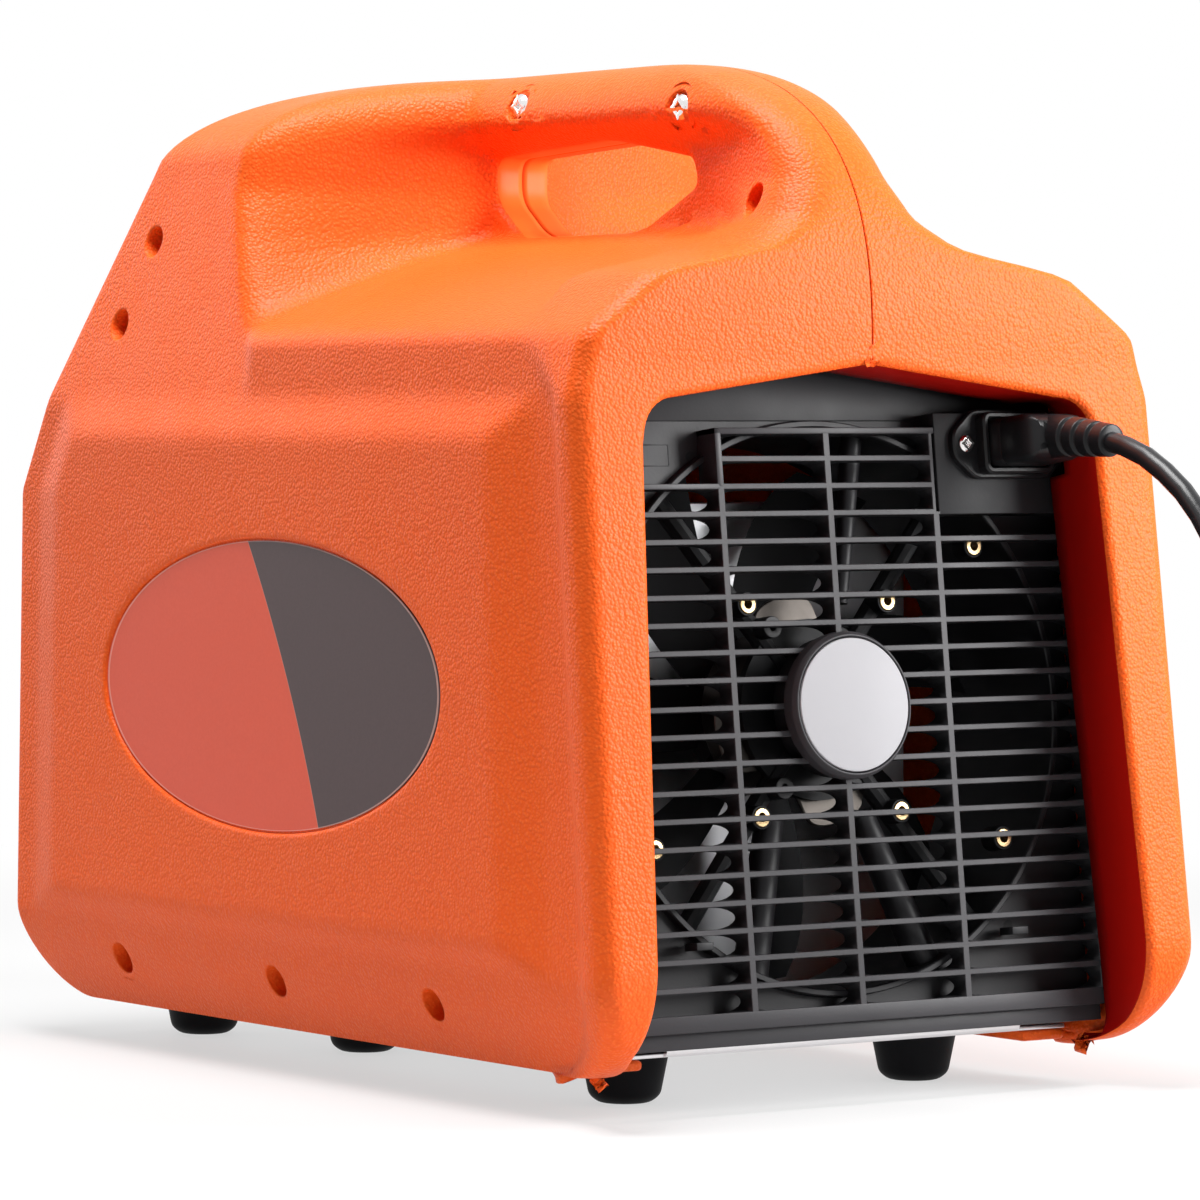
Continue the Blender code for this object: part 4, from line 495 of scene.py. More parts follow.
def build_finishes():
    """Every finish of the machine by its plain name."""
    made = {
        "orange": moulded_orange("orange_grained"),
        "orange_smooth": moulded_orange("orange_smooth", True),
        "orange_painted_shade": orange_with_painted_shade(),
        "charcoal": dark_plastic("charcoal_moulding", (0.030, 0.029, 0.032), (0.044, 0.042, 0.046)),
        "plate": dark_plastic("duct_moulding", (0.018, 0.017, 0.019), (0.028, 0.027, 0.030)),
        # the dark moulding serves the fan and other dark parts, and also stands as painted shade in the
        # grille's slots, beside the inlet and in the plate's holes
        "dark_and_painted_shade": dark_plastic("dark_moulding_and_painted_shade", (0.010, 0.010, 0.011), (0.017, 0.017, 0.019), 0.5),
        "black": dark_plastic("black_moulding", (0.006, 0.006, 0.007), (0.013, 0.013, 0.014), 0.36),
        "rubber": dark_plastic("foot_rubber", (0.004, 0.004, 0.005), (0.008, 0.008, 0.009), 0.55,
                               1400.0, 0.0001, 0.08),
        "sheath": dark_plastic("cord_sheath", (0.007, 0.007, 0.008), (0.014, 0.014, 0.015), 0.34,
                               500.0, 0.00004, 0.3),
        "steel": plain_metal("brushed_steel", (0.70, 0.68, 0.69), (0.88, 0.86, 0.87), 0.36,
                             (12.0, 500.0, 1600.0)),
        "chrome": plain_metal("bright_screw", (0.74, 0.72, 0.71), (0.86, 0.85, 0.84), 0.16),
        "brass": plain_metal("turned_brass", (0.66, 0.46, 0.23), (0.86, 0.63, 0.35), 0.36),
        "cast": plain_metal("cast_metal", (0.34, 0.34, 0.35), (0.50, 0.50, 0.52), 0.55,
                            (700.0, 700.0, 700.0), 0.0002),
        "taupe": plain_metal("plated_bracket", (0.085, 0.075, 0.068), (0.150, 0.135, 0.122), 0.5),
        "copper": plain_metal("copper_pipe", (0.62, 0.27, 0.15), (0.82, 0.42, 0.26), 0.28),
    }
    disc = Finish("pale_disc", 0.5, 0.0, Specular_IOR_Level=0.2)
    disc.set(Base_Color=disc.mix(disc.noise(30.0), (0.365, 0.360, 0.378), (0.400, 0.394, 0.412)),
             Roughness=disc.noise(200.0) * 0.1 + 0.48)
    made["disc"] = disc.bump(disc.noise(1500.0), 0.2, 0.00004).material
    for name, low, high, rough in (("blue", (0.010, 0.060, 0.320), (0.018, 0.085, 0.400), 0.34),
                                   ("red", (0.420, 0.012, 0.012), (0.520, 0.022, 0.020), 0.34),
                                   ("needle", (0.500, 0.016, 0.012), (0.600, 0.026, 0.020), 0.40),
                                   ("rocker", (0.480, 0.016, 0.012), (0.600, 0.026, 0.018), 0.28),
                                   ("dial", (0.740, 0.740, 0.720), (0.810, 0.810, 0.790), 0.40),
                                   ("panel", (0.026, 0.025, 0.028), (0.040, 0.038, 0.042), 0.46)):
        made[name] = dark_plastic(name + "_moulding", low, high, rough, 1100.0, 0.00004, 0.4)
    glass = Finish("gauge_lens", 0.03, 0.0, Transmission_Weight=1.0, IOR=1.46)
    made["glass"] = glass.set(Roughness=glass.noise(90.0) * 0.02 + 0.02,
                              Base_Color=glass.mix(glass.noise(40.0), (0.96, 0.98, 0.98),
                                                   (0.99, 1.0, 1.0))).material
    fins = Finish("condenser_fins", 0.38, 1.0)
    # painted shade: dark stripes between the pale fin edges stand for the gaps between the fins
    fin_edges_and_gap_shade = (fins.axes()[0] * 2400.0).maths("SINE") * 0.5 + 0.5
    fins.set(Base_Color=fins.mix(fin_edges_and_gap_shade.step(0.2, 0.8), (0.10, 0.10, 0.105), (0.60, 0.60, 0.62)),
             Roughness=fins.noise(200.0) * 0.2 + 0.30)
    made["fins"] = fins.bump(fin_edges_and_gap_shade, 0.8, 0.0006).material
    return made


FINISH = build_finishes()


# Form of the case, worked out from the side view

def ease(t):
    """t held between 0 and 1, then 3 t squared less 2 t cubed."""
    t = np.clip(t, 0.0, 1.0)
    return t * t * (3 - 2 * t)


def soft_step(t, width):
    """t held between 0 and 1, with both corners rounded over the given width."""
    low = np.sqrt(t * t + width * width)
    high = np.sqrt((t - 1) ** 2 + width * width)
    return (low - high + 1) / 2


def soft_min(a, b, width):
    """The smaller of two values, with the crease between them rounded over the width."""
    return (a + b - np.sqrt((a - b) ** 2 + width * width)) / 2


def front_edge(z):
    """Y of the front edge: upright, then slanted back, then rounded into the top."""
    low = SHELL_BOTTOM + FRONT_CORNER
    drop = np.clip(low - z, 0.0, FRONT_CORNER)
    foot = FRONT_CORNER - np.sqrt(np.maximum(FRONT_CORNER ** 2 - drop ** 2, 0.0))
    slant = SLANT * np.maximum(z - SLANT_START, 0.0)
    bend = HEIGHT - TOP_ROUND
    start = FRONT_Y + SLANT * (bend - SLANT_START)
    rise = np.clip((HEIGHT - z) / TOP_ROUND, 0.0, 1.0)
    top = start + TOP_FRONT_LENGTH * (1 - rise ** (1 / 3.0))
    return np.where(z > bend, top, FRONT_Y + foot + slant)


def rear_edge(z):
    """Y of the rear face: leaning plane with a rounded foot and a rounded top."""
    plane = REAR_Y - REAR_LEAN * (z - SHELL_BOTTOM)
    low = SHELL_BOTTOM + REAR_CORNER
    drop = np.clip(low - z, 0.0, REAR_CORNER)
    foot = REAR_CORNER - np.sqrt(np.maximum(REAR_CORNER ** 2 - drop ** 2, 0.0))
    bend = HEIGHT - REAR_ROUND_HEIGHT
    top_plane = REAR_Y - REAR_LEAN * (bend - SHELL_BOTTOM)
    rise = np.clip((z - bend) / REAR_ROUND_HEIGHT, 0.0, 1.0)
    reach = (1 - rise ** 2.75) ** (1 / 2.75)
    return np.where(z > bend, top_plane - REAR_ROUND_LENGTH * (1 - reach), plane - foot)


def valley_width(z):
    """Half width beside the panels: it falls with height and tucks in under the panel's foot."""
    side = WIDTH / 2 - PANEL_RAISE - SIDE_DRAFT * (z - PANEL_BOTTOM)
    tuck = np.clip((PANEL_BOTTOM - z) / (PANEL_BOTTOM - SHELL_BOTTOM), 0, 1) ** 1.3
    return side - BOTTOM_TUCK * tuck


def dome(z, half_width, start):
    """The half width rounded in to nothing at the top of the case."""
    rise = np.clip((z - start) / (HEIGHT - start), 0.0, 1.0)
    return half_width * np.sqrt(1 - rise ** 2)


def middle_width(z):
    """Half width between hood and rear pillar: side, shoulder, web and grip bar."""
    top = valley_width(PANEL_TOP)
    side = valley_width(np.minimum(z, PANEL_TOP))
    chamfer = top + (SHOULDER_HALF_WIDTH - top) * (z - PANEL_TOP) / (SHOULDER - PANEL_TOP)
    rise = np.clip((z - SHOULDER) / (HOLE_BOTTOM - SHOULDER), 0.0, 1.0)
    floor = WEB + (SHOULDER_HALF_WIDTH - WEB) * (1 - rise ** 1.3)
    swell = WEB + BAR_SWELL * ease((z - HOLE_TOP + 0.004) / 0.012)
    bar = dome(z, swell, BAR_CENTRE)
    width = np.where(z > PANEL_TOP, chamfer, side)
    width = np.where(z > SHOULDER, floor, width)
    return np.where(z > HOLE_BOTTOM, bar, width)


def hood_width(z):
    """Half width of the front hood: it leans in evenly, then rounds into the top."""
    top = valley_width(PANEL_TOP)
    start = HEIGHT - TOP_ROUND - 0.004
    lean = top - HOOD_LEAN * np.clip((z - PANEL_TOP) / (start - PANEL_TOP), 0.0, 1.0)
    return np.where(z > PANEL_TOP, dome(z, lean, start), valley_width(z))


def pillar_width(z):
    """Half width at the rear: from the band up through the shoulder to the pillar."""
    top = valley_width(PANEL_TOP) + BAND_RAISE
    heights = (PANEL_TOP, SHOULDER, 0.280, 0.288, 0.298, 0.312, BAR_CENTRE, HEIGHT)
    widths = (top, SHOULDER_HALF_WIDTH, 0.0895, 0.046, 0.030, 0.0225, 0.020, 0.020)
    return dome(z, np.interp(z, heights, widths), BAR_CENTRE)


def hood_line(z):
    """Y where the hood reaches its full width."""
    return np.interp(z, (0.250, 0.313), (-0.044, HOOD_END))


def pocket_line(z):
    """Y where the pocket beside the handle starts to rise to the rear pillar."""
    return np.interp(z, (0.238, 0.257, 0.277, 0.290, 0.310),
                     (0.1534, 0.132, 0.108, 0.100, HOLE_REAR))


def ridge_line(z):
    """Y of the ridge where that rise ends."""
    return np.interp(z, (0.238, 0.257, 0.277, 0.285, 0.292, 0.322, 0.332, 0.345),
                     (0.1624, 0.146, 0.127, 0.1425, 0.150, 0.156, 0.146, 0.121))


def case_width(y, z, far=False):
    """Half width of the case at a point of the side view, before its edges are rounded.

    Below the panel's top the side is a drafted valley with the larger of two steps on it,
    the panel and the rear band; above it hood, grip bar and pillar blend into each other.
    Far stands for the half without the label, whose hood reaches further to the rear."""
    front, rear = front_edge(z), rear_edge(z)
    low_end = (z - PANEL_BOTTOM) / PANEL_BOTTOM_CHAMFER
    high_end = (PANEL_TOP - z) / PANEL_TOP_CHAMFER
    fore = (y - front - PANEL_FRONT_MARGIN) / PANEL_FRONT_CHAMFER
    aft = (REAR_Y - PANEL_REAR_MARGIN - 0.072 * z - y) / PANEL_REAR_CHAMFER
    inset = soft_min(soft_min(low_end, high_end, 0.10), soft_min(fore, aft, 0.10), 0.10)
    raised = PANEL_RAISE * soft_step(inset, 0.06)
    band = BAND_RAISE * ease((y - rear + BAND_WIDTH + BAND_STEP) / BAND_STEP)
    lower = valley_width(z) + np.maximum(raised, band)
    end = hood_line(z) + far * FAR_HOOD_SHIFT * ease((z - FAR_HOOD_FROM) / 0.015)
    hood = ease((HOLE_FRONT - y) / (HOLE_FRONT - end))
    pillar = ease((y - pocket_line(z)) / (ridge_line(z) - pocket_line(z)))
    middle = middle_width(z)
    upper = middle + (hood_width(z) - middle) * hood
    upper = upper + (pillar_width(z) - upper) * pillar
    return np.where(z > PANEL_TOP, upper, lower)


def smoothed_width(y, z, far=False, reach=0.0020):
    """The half width averaged over a small cross of points, which rounds its creases."""
    total = 2 * case_width(y, z, far)
    for dy, dz in ((reach, 0), (-reach, 0), (0, reach), (0, -reach),
                   (reach, reach), (-reach, -reach), (reach, -reach), (-reach, reach)):
        zz = np.clip(z + dz, SHELL_BOTTOM, HEIGHT)
        total = total + case_width(y + dy, zz, far)
    smooth = total / 10
    blend = ease((z - 0.336) / 0.004)
    return smooth * (1 - blend) + case_width(y, z, far) * blend


def corner_radius(z):
    """Radius of the upright rear corner, which grows above the shoulder."""
    return np.interp(z, (SHOULDER, PILLAR_RADIUS_FROM), (CORNER_RADIUS, PILLAR_RADIUS))


def outer_x(y, z, far=False):
    """Half width with the front lip, the rear corner and the seam's edge rounded."""
    front, rear = front_edge(z), rear_edge(z)
    width = smoothed_width(np.clip(y, front + 0.003, rear - 0.003), z, far)
    corner = corner_radius(z)
    near = np.clip(1 - (rear - y) / corner, 0.0, 1.0)
    width = width - np.minimum(corner, 0.8 * width) * (1 - np.sqrt(1 - near ** 2))
    lip = np.minimum(FRONT_LIP, 0.8 * width)
    fore = np.clip(1 - (y - front) / FRONT_LIP, 0.0, 1.0)
    width = width - lip * (1 - np.sqrt(1 - fore ** 2))
    return np.maximum(width, SEAM)


def hole_outline():
    """The hand hole's rounded outline in the side view, as a dense closed run of points."""
    corners = np.array([(HOLE_FRONT, HOLE_TOP - 0.004), (HOLE_FRONT, 0.310),
                        (HOLE_FRONT + 0.018, HOLE_BOTTOM), (0.052, HOLE_BOTTOM),
                        (HOLE_REAR, 0.312), (HOLE_REAR - 0.003, HOLE_TOP - 0.008),
                        (0.037, HOLE_TOP)])
    return round_corners(corners, 0.0075)


def round_corners(corners, radius, steps=10, between=24):
    """A closed outline whose corners are eased by short curves, with points between."""
    ahead, behind = np.roll(corners, -1, axis=0), np.roll(corners, 1, axis=0)
    forward, back = ahead - corners, behind - corners
    one = np.linalg.norm(forward, axis=1, keepdims=True)
    two = np.linalg.norm(back, axis=1, keepdims=True)
    reach = np.minimum(radius, 0.42 * np.minimum(one, two))
    start, end = corners + back / two * reach, corners + forward / one * reach
    t = np.linspace(0, 1, steps)[None, :, None]
    curve = ((1 - t) ** 2 * start[:, None] + 2 * t * (1 - t) * corners[:, None]
             + t ** 2 * end[:, None])
    s = np.linspace(0, 1, between)[None, 1:-1, None]
    line = end[:, None] * (1 - s) + np.roll(start, -1, axis=0)[:, None] * s
    return np.concatenate([curve, line], axis=1).reshape(-1, 2)


def circle_outline(y, z, radius, count=400):
    """Dense points round a circle in the side view."""
    turn = np.linspace(0, 2 * np.pi, count, endpoint=False)
    return np.stack([y + radius * np.cos(turn), z + radius * np.sin(turn)], axis=-1)


def ellipse_outline(centre, half, count=1200):
    """Dense points round an ellipse in the side view."""
    turn = np.linspace(0, 2 * np.pi, count, endpoint=False)
    return np.stack([centre[0] + half[0] * np.cos(turn), centre[1] + half[1] * np.sin(turn)],
                    axis=-1)


def block_loop(low, high):
    """Indices (row, column) once round a block of the grid, in order."""
    (i0, j0), (i1, j1) = low, high
    rows = np.concatenate([np.full(j1 - j0, i0), np.arange(i0, i1), np.full(j1 - j0, i1),
                           np.arange(i1, i0, -1)])
    cols = np.concatenate([np.arange(j0, j1), np.full(i1 - i0, j1), np.arange(j1, j0, -1),
                           np.full(i1 - i0, j0)])
    return rows, cols


def side_rows():
    """Heights of the rows: close together in the rounded foot and round the top."""
    low = SHELL_BOTTOM + REAR_CORNER * (1 - np.cos(np.linspace(0, 0.55, 10)))
    middle = np.linspace(low[-1], BAR_CENTRE, 126)
    turn = np.linspace(0, np.pi / 2, 20)[1:]
    top = BAR_CENTRE + (HEIGHT - BAR_CENTRE) * np.sin(turn)
    return np.concatenate([low[:-1], middle, top])


def side_columns(z):
    """Y of the columns: close together round the front lip and the rear corner."""
    front, rear = front_edge(z)[:, None], rear_edge(z)[:, None]
    corner = corner_radius(z)[:, None]
    turn = np.linspace(0, np.pi / 2, 6)[None, :]
    lip = front + FRONT_LIP * (1 - np.cos(turn))
    tail = rear - corner * (1 - np.sin(np.linspace(0, np.pi / 2, 9)[None, :]))
    t = np.linspace(0, 1, 148)[None, 1:-1]
    body = lip[:, -1:] * (1 - t) + tail[:, :1] * t
    return np.concatenate([lip, body, tail], axis=1)


class Cut:
    """A place where the side grid gives way to loops that run into a hole or recess."""

    def __init__(self, outline, margin, edge, depth, kind):
        self.outline, self.margin, self.edge = outline, margin, edge
        self.depth, self.kind = depth, kind


def case_cuts(labelled):
    """The hand hole, and on the labelled half the screw recesses and the oval's shallow seat."""
    cuts = [Cut(hole_outline(), 0.0075, 0.0042, None, "through")]
    if labelled:
        cuts += [Cut(circle_outline(y, z, SCREW_RECESS - 0.0004), 0.0030, 0.0008, depth, "blind")
                 for y, z, depth in CASE_SCREWS]
        cuts += [Cut(circle_outline(y, z, SCREW_RECESS - 0.0002), 0.0028, 0.0008, depth, "blind")
                 for y, z, depth in HANDLE_SCREWS]
        cuts.append(Cut(ellipse_outline(LABEL_CENTRE, LABEL_HALF), 0.0045, 0.0016, LABEL_DEPTH,
                        "label"))
    return cuts


def cut_loops(cut, rim):
    """Loops from the block's rim to the outline, over its rounded edge and down the wall.

    Each rim point meets the outline at its nearest point, so the loops stay square to it."""
    nearest = np.argmin(((rim[:, None] - cut.outline[None]) ** 2).sum(axis=2), axis=1)
    foot = cut.outline[nearest]
    away = rim - foot
    far = np.linalg.norm(away, axis=1, keepdims=True)
    normal = away / np.maximum(far, 1e-9)
    loops = []
    for share in (0.66, 0.36, 0.14):
        flat = foot + normal * (cut.edge + (far - cut.edge) * share)
        loops.append((flat, np.zeros(len(flat))))
    for angle in np.linspace(0, np.pi / 2, EDGE_LOOPS):
        flat = foot + normal * cut.edge * (1 - np.sin(angle))
        loops.append((flat, np.full(len(flat), cut.edge * (1 - np.cos(angle)))))
    return loops, foot


def cut_rings(cut, rim, far):
    """Rings of points from the rim into the cut: to the seam, to a flat floor or to the oval."""
    loops, foot = cut_loops(cut, rim[:, 1:])
    rings = [rim]
    for flat, sink in loops:
        rings.append(np.column_stack([outer_x(flat[:, 0], flat[:, 1], far) - sink, flat]))
    last = rings[-1]
    if cut.kind == "through":
        for share in (0.75, 0.5, 0.25, 0.0):
            rings.append(np.column_stack([SEAM + (last[:, 0] - SEAM) * share, last[:, 1:]]))
    elif cut.kind == "blind":
        centre = cut.outline.mean(axis=0)
        floor = recess_floor(*centre, cut.depth)
        for share in (0.6, 0.2, 0.0):
            level = floor + np.maximum(last[:, 0] - floor, 0.0) * share
            rings.append(np.column_stack([level, last[:, 1:]]))
        hub = np.array([floor, *centre])
        rings.append(hub + (rings[-1] - hub) * 0.5)
        rings.append(np.repeat(hub[None], len(last), axis=0))
    else:
        centre = np.array(LABEL_CENTRE)
        for share in (0.985, 0.9, 0.6, 0.3, 0.0):
            flat = centre + (foot - centre) * share
            rings.append(np.column_stack([outer_x(flat[:, 0], flat[:, 1]) - cut.depth, flat]))
    return rings


def recess_floor(y, z, depth):
    """X of a screw recess's floor, its depth below the side at the recess's middle."""
    return float(outer_x(np.array([y]), np.array([z]))[0]) - depth


def half_case(labelled):
    """Points and faces of one half of the case, its outer skin, worked out on the +X side.

    Only the labelled half has screw recesses and the oval; the other has room for the inlet."""
    heights = side_rows()
    y = side_columns(heights)
    z = np.broadcast_to(heights[:, None], y.shape)
    x = outer_x(y, z, not labelled)
    form = Form()
    rows, cols = y.shape
    taken = np.zeros((rows - 1, cols - 1), bool)
    patches = []
    for cut in case_cuts(labelled):
        low, high = cut.outline.min(axis=0) - cut.margin, cut.outline.max(axis=0) + cut.margin
        where = np.nonzero((y > low[0]) & (y < high[0]) & (z > low[1]) & (z < high[1]))
        i0, i1 = where[0].min() - 1, where[0].max() + 1
        j0, j1 = where[1].min() - 1, where[1].max() + 1
        taken[i0:i1, j0:j1] = True
        loop_rows, loop_cols = block_loop((i0, j0), (i1, j1))
        rim = np.stack([x, y, z], axis=-1)[loop_rows, loop_cols]
        patches.append((np.stack(cut_rings(cut, rim, not labelled)), cut.kind))
    faces = grid_faces(rows, cols).reshape(rows - 1, cols - 1, 4)[~taken]
    form.add(np.stack([x, y, z], axis=-1), faces)
    for patch, kind in patches:
        if kind == "through":
            form.grid(patch[:HOLE_EDGE_RING + 1], round_cols=True)
            form.grid(patch[HOLE_EDGE_RING:], round_cols=True, kind=2)
        else:
            form.grid(patch, round_cols=True)
    strip = rear_strip(heights, x[:, -1], not labelled)
    edge_end = FACE_COLUMNS + EDGE_COLUMNS - 3
    form.grid(strip[:, :edge_end + 1])
    # the wall inside the rear opening takes the orange with painted shade
    form.grid(strip[:, edge_end:], kind=1)
    return form


def rear_strip(heights, outer, room=False):
    """From the rear corner across the rear face to the opening's edge, and into it.

    Each row starts on the corner at its own height and ends on the opening's outline,
    or above that on the seam; the edge turns in by a quarter round and runs forwards.
    With room the wall inside stops short of the inlet's flange."""
    radius = EDGE_RADIUS
    top = OPENING_PEAK - OPENING_FALL
    start = top - OPENING_CORNER
    narrow = OPENING_HALF_WIDTH - OPENING_DRAFT * (top - HUB_HEIGHT)
    side = heights[heights <= start]
    edge = OPENING_HALF_WIDTH + OPENING_DRAFT * (HUB_HEIGHT - side)
    edge = np.minimum(edge, outer[:len(side)] - radius - 0.0013)
    upright = np.column_stack([edge, side])
    turn = np.linspace(0, np.pi / 2, 9)[1:]
    arc = np.column_stack([narrow - OPENING_CORNER * (1 - np.cos(turn)),
                           top - OPENING_CORNER * (1 - np.sin(turn))])
    left = len(heights) - len(side) - len(arc)
    up = heights[len(side) + len(arc):]
    across = int((up < SEAM_FROM).sum())
    t = np.linspace(0, 1, across + 1)[1:, None]
    slope = arc[-1] * (1 - t) + np.array([SEAM, OPENING_PEAK]) * t
    rise = (up[across:] - SEAM_FROM) / (HEIGHT - SEAM_FROM)
    seam = np.column_stack([np.full(left - across, SEAM),
                            OPENING_PEAK + (HEIGHT - OPENING_PEAK) * rise ** 0.9])
    inner = np.concatenate([upright, arc, slope, seam])
    open_rows = len(upright) + len(arc) + len(slope)
    along = np.gradient(inner[:open_rows], axis=0)
    outwards = np.stack([along[:, 1], -along[:, 0]], axis=-1)
    outwards /= np.linalg.norm(outwards, axis=1, keepdims=True)
    outwards[-1] = (0.0, 1.0)
    shoulder = inner.copy()
    shoulder[:open_rows] += outwards * radius
    fade = np.zeros(len(inner))
    fade[:open_rows] = 1.0
    shoulder[open_rows:, 0] = np.minimum(SEAM * 2.5, outer[open_rows:])
    corner = np.column_stack([outer, heights])
    columns = []
    for share in np.linspace(0, 1, FACE_COLUMNS)[:, None, None]:
        flat = corner * (1 - share[0]) + shoulder * share[0]
        columns.append(np.column_stack([flat[:, 0], rear_edge(flat[:, 1]), flat[:, 1]]))
    foot = REAR_Y - REAR_LEAN * (inner[:, 1] - SHELL_BOTTOM) - rear_edge(inner[:, 1])
    depth = np.maximum(GRILLE_RECESS - WALL_INSET - foot, radius + 0.0004)
    depth = np.where(fade > 0, depth, WALL_INSET)
    lift = np.full(len(inner), REAR_LEAN)
    lift[len(upright):len(upright) + len(arc)] = np.linspace(REAR_LEAN, -ROOF_DRAFT, len(arc))
    lift[len(upright) + len(arc):] = -ROOF_DRAFT
    if room:
        level = (inner[:, 1] > INLET_ROOM_LOW) & (inner[:, 1] < INLET_ROOM_HIGH)
        depth = depth - INLET_ROOM * (level & (fade > 0))
    for angle in np.linspace(0, np.pi / 2, EDGE_COLUMNS)[1:]:
        flat = shoulder + (inner - shoulder) * np.sin(angle)
        sink = np.where(fade > 0, radius, WALL_INSET) * (1 - np.cos(angle))
        columns.append(np.column_stack([flat[:, 0], rear_edge(flat[:, 1]) - sink, flat[:, 1]]))
    base = columns[-1]
    for share in (0.25, 0.5, 0.75, 1.0):
        sink = (depth - np.where(fade > 0, radius, WALL_INSET)) * share
        columns.append(base - np.column_stack([0 * sink, sink, -sink * lift * fade]))
    return np.stack(columns, axis=1)


def build_case():
    """Both halves as skins with a wall inside them, and the flange under each half."""
    for side, name in ((1, "side_shell_right"), (-1, "side_shell_left")):
        form = half_case(side > 0)
        form.points = [p * (side, 1, 1) for p in form.points]
        if side < 0:
            form.faces = [f[:, ::-1] for f in form.faces]
        looks = [FINISH["orange"], FINISH["orange_painted_shade"], FINISH["orange_smooth"]]
        shell = form.make("case_" + name.split("_")[-1], looks, smooth=50, outward=False)
        wall = shell.modifiers.new("wall", "SOLIDIFY")
        wall.thickness = SHELL_WALL
        wall.offset = -1.0
        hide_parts(name)
        near, far = np.sort([side * FLANGE_LOW[0], side * FLANGE_HIGH[0]])
        flange = Form().grid(box_points((near, *FLANGE_LOW[1:]), (far, *FLANGE_HIGH[1:]), 0.0014),
                             round_cols=True)
        flange = flange.make("case_flange_" + name.split("_")[-1], [FINISH["orange"]])


# Camera, floor and light

def build_camera():
    """The photograph's camera, seen from behind the machine and to its labelled side."""
    lens = bpy.data.cameras.new("camera")
    lens.lens = CAMERA_LENS
    lens.sensor_width = SENSOR
    lens.clip_end = 50.0
    view = bpy.data.objects.new("camera", lens)
    bpy.context.scene.collection.objects.link(view)
    turn, pitch = math.radians(CAMERA_TURN), math.radians(CAMERA_PITCH)
    ahead = Vector((-math.sin(turn) * math.cos(pitch), math.cos(turn) * math.cos(pitch),
                    math.sin(pitch)))
    view.location = CAMERA_PLACE
    view.rotation_euler = ahead.to_track_quat("-Z", "Y").to_euler()
    bpy.context.scene.camera = view


# Lamps: name, place, point aimed at, size and power in watts
LAMPS = (("overhead", (0.24, 0.08, 1.45), (0.0, 0.0, 0.2), (0.7, 0.7), 34.0),
         ("label_side", (1.7, -0.9, 0.90), (0.0, 0.0, 0.17), (0.9, 0.9), 0.4),
         ("rear_side", (-0.50, 0.62, 0.42), (-0.08, 0.15, 0.20), (0.35, 0.55), 11.0),
         ("front_fill", (0.5, -1.9, 0.9), (0.0, 0.0, 0.2), (1.2, 1.2), 9.0))
FLOOR_HALF, FLOOR_DROP, FLOOR_GREY = 9.0, 0.0002, 0.62
WHITE_NEAR, WHITE_FAR = 0.58, 1.0


def lamp(name, place, aim, size, power):
    """A flat lamp at a place, turned to face the point it is aimed at."""
    light = bpy.data.lights.new(name, "AREA")
    light.shape = "RECTANGLE"
    light.size, light.size_y = size
    light.energy = power
    item = bpy.data.objects.new(name, light)
    bpy.context.scene.collection.objects.link(item)
    item.location = place
    item.rotation_euler = (Vector(aim) - Vector(place)).to_track_quat("-Z", "Y").to_euler()


def seen_share(tree):
    """1 where the camera, a mirror or glass looks at the surface, otherwise 0."""
    path = tree.nodes.new("ShaderNodeLightPath")
    rays = [Sock(tree, path.outputs[k]) for k in
            ("Is Camera Ray", "Is Glossy Ray", "Is Transmission Ray")]
    return rays[0].maths("MAXIMUM", rays[0].maths("MAXIMUM", rays[0], rays[1]), rays[2])


def build_studio():
    """White surroundings that only the eye sees, and a pale floor that whitens with distance."""
    world = bpy.data.worlds.new("studio")
    bpy.context.scene.world = world
    world.use_nodes = True
    tree = world.node_tree
    back = tree.nodes["Background"]
    seen = seen_share(tree)
    feed(tree, back.inputs["Strength"], seen * 0.95 + 0.05)
    back.inputs["Color"].default_value = (1.0, 1.0, 1.0, 1.0)
    corners = [(x * FLOOR_HALF, y * FLOOR_HALF, -FLOOR_DROP)
               for x, y in ((-1, -1), (1, -1), (1, 1), (-1, 1))]
    mesh = bpy.data.meshes.new("floor")
    mesh.from_pydata(corners, [], [[0, 1, 2, 3]])
    floor = bpy.data.objects.new("floor", mesh)
    bpy.context.scene.collection.objects.link(floor)
    material = bpy.data.materials.new("pale_floor")
    material.use_nodes = True
    tree = material.node_tree
    shader = tree.nodes["Principled BSDF"]
    shader.inputs["Base Color"].default_value = (FLOOR_GREY, FLOOR_GREY, FLOOR_GREY, 1.0)
    shader.inputs["Roughness"].default_value = 0.6
    shader.inputs["Specular IOR Level"].default_value = 0.1
    glow = tree.nodes.new("ShaderNodeEmission")
    place = add_node(tree, "ShaderNodeTexCoord")[3]
    far = add_node(tree, "ShaderNodeVectorMath", {"operation": "LENGTH"}, Vector=place)[1]
    both = tree.nodes.new("ShaderNodeMixShader")
    white = far.step(0.35, 1.1) * (WHITE_FAR - WHITE_NEAR) + WHITE_NEAR
    feed(tree, both.inputs[0], seen_share(tree) * white)
    tree.links.new(shader.outputs[0], both.inputs[1])
    tree.links.new(glow.outputs[0], both.inputs[2])
    tree.links.new(both.outputs[0], tree.nodes["Material Output"].inputs["Surface"])
    mesh.materials.append(material)
    for row in LAMPS:
        lamp(*row)
    bpy.context.scene.view_settings.view_transform = "Standard"


# Rear plane: own x is the machine's X, own y points out of the machine, own z is up it

LEAN = math.atan(REAR_LEAN)
REAR_ORIGIN = np.array((0.0, REAR_Y - REAR_LEAN * (HUB_HEIGHT - SHELL_BOTTOM) - GRILLE_RECESS,
                        HUB_HEIGHT))
REAR_TURN = np.array([[1, 0, 0], [0, math.cos(LEAN), -math.sin(LEAN)],
                      [0, math.sin(LEAN), math.cos(LEAN)]])


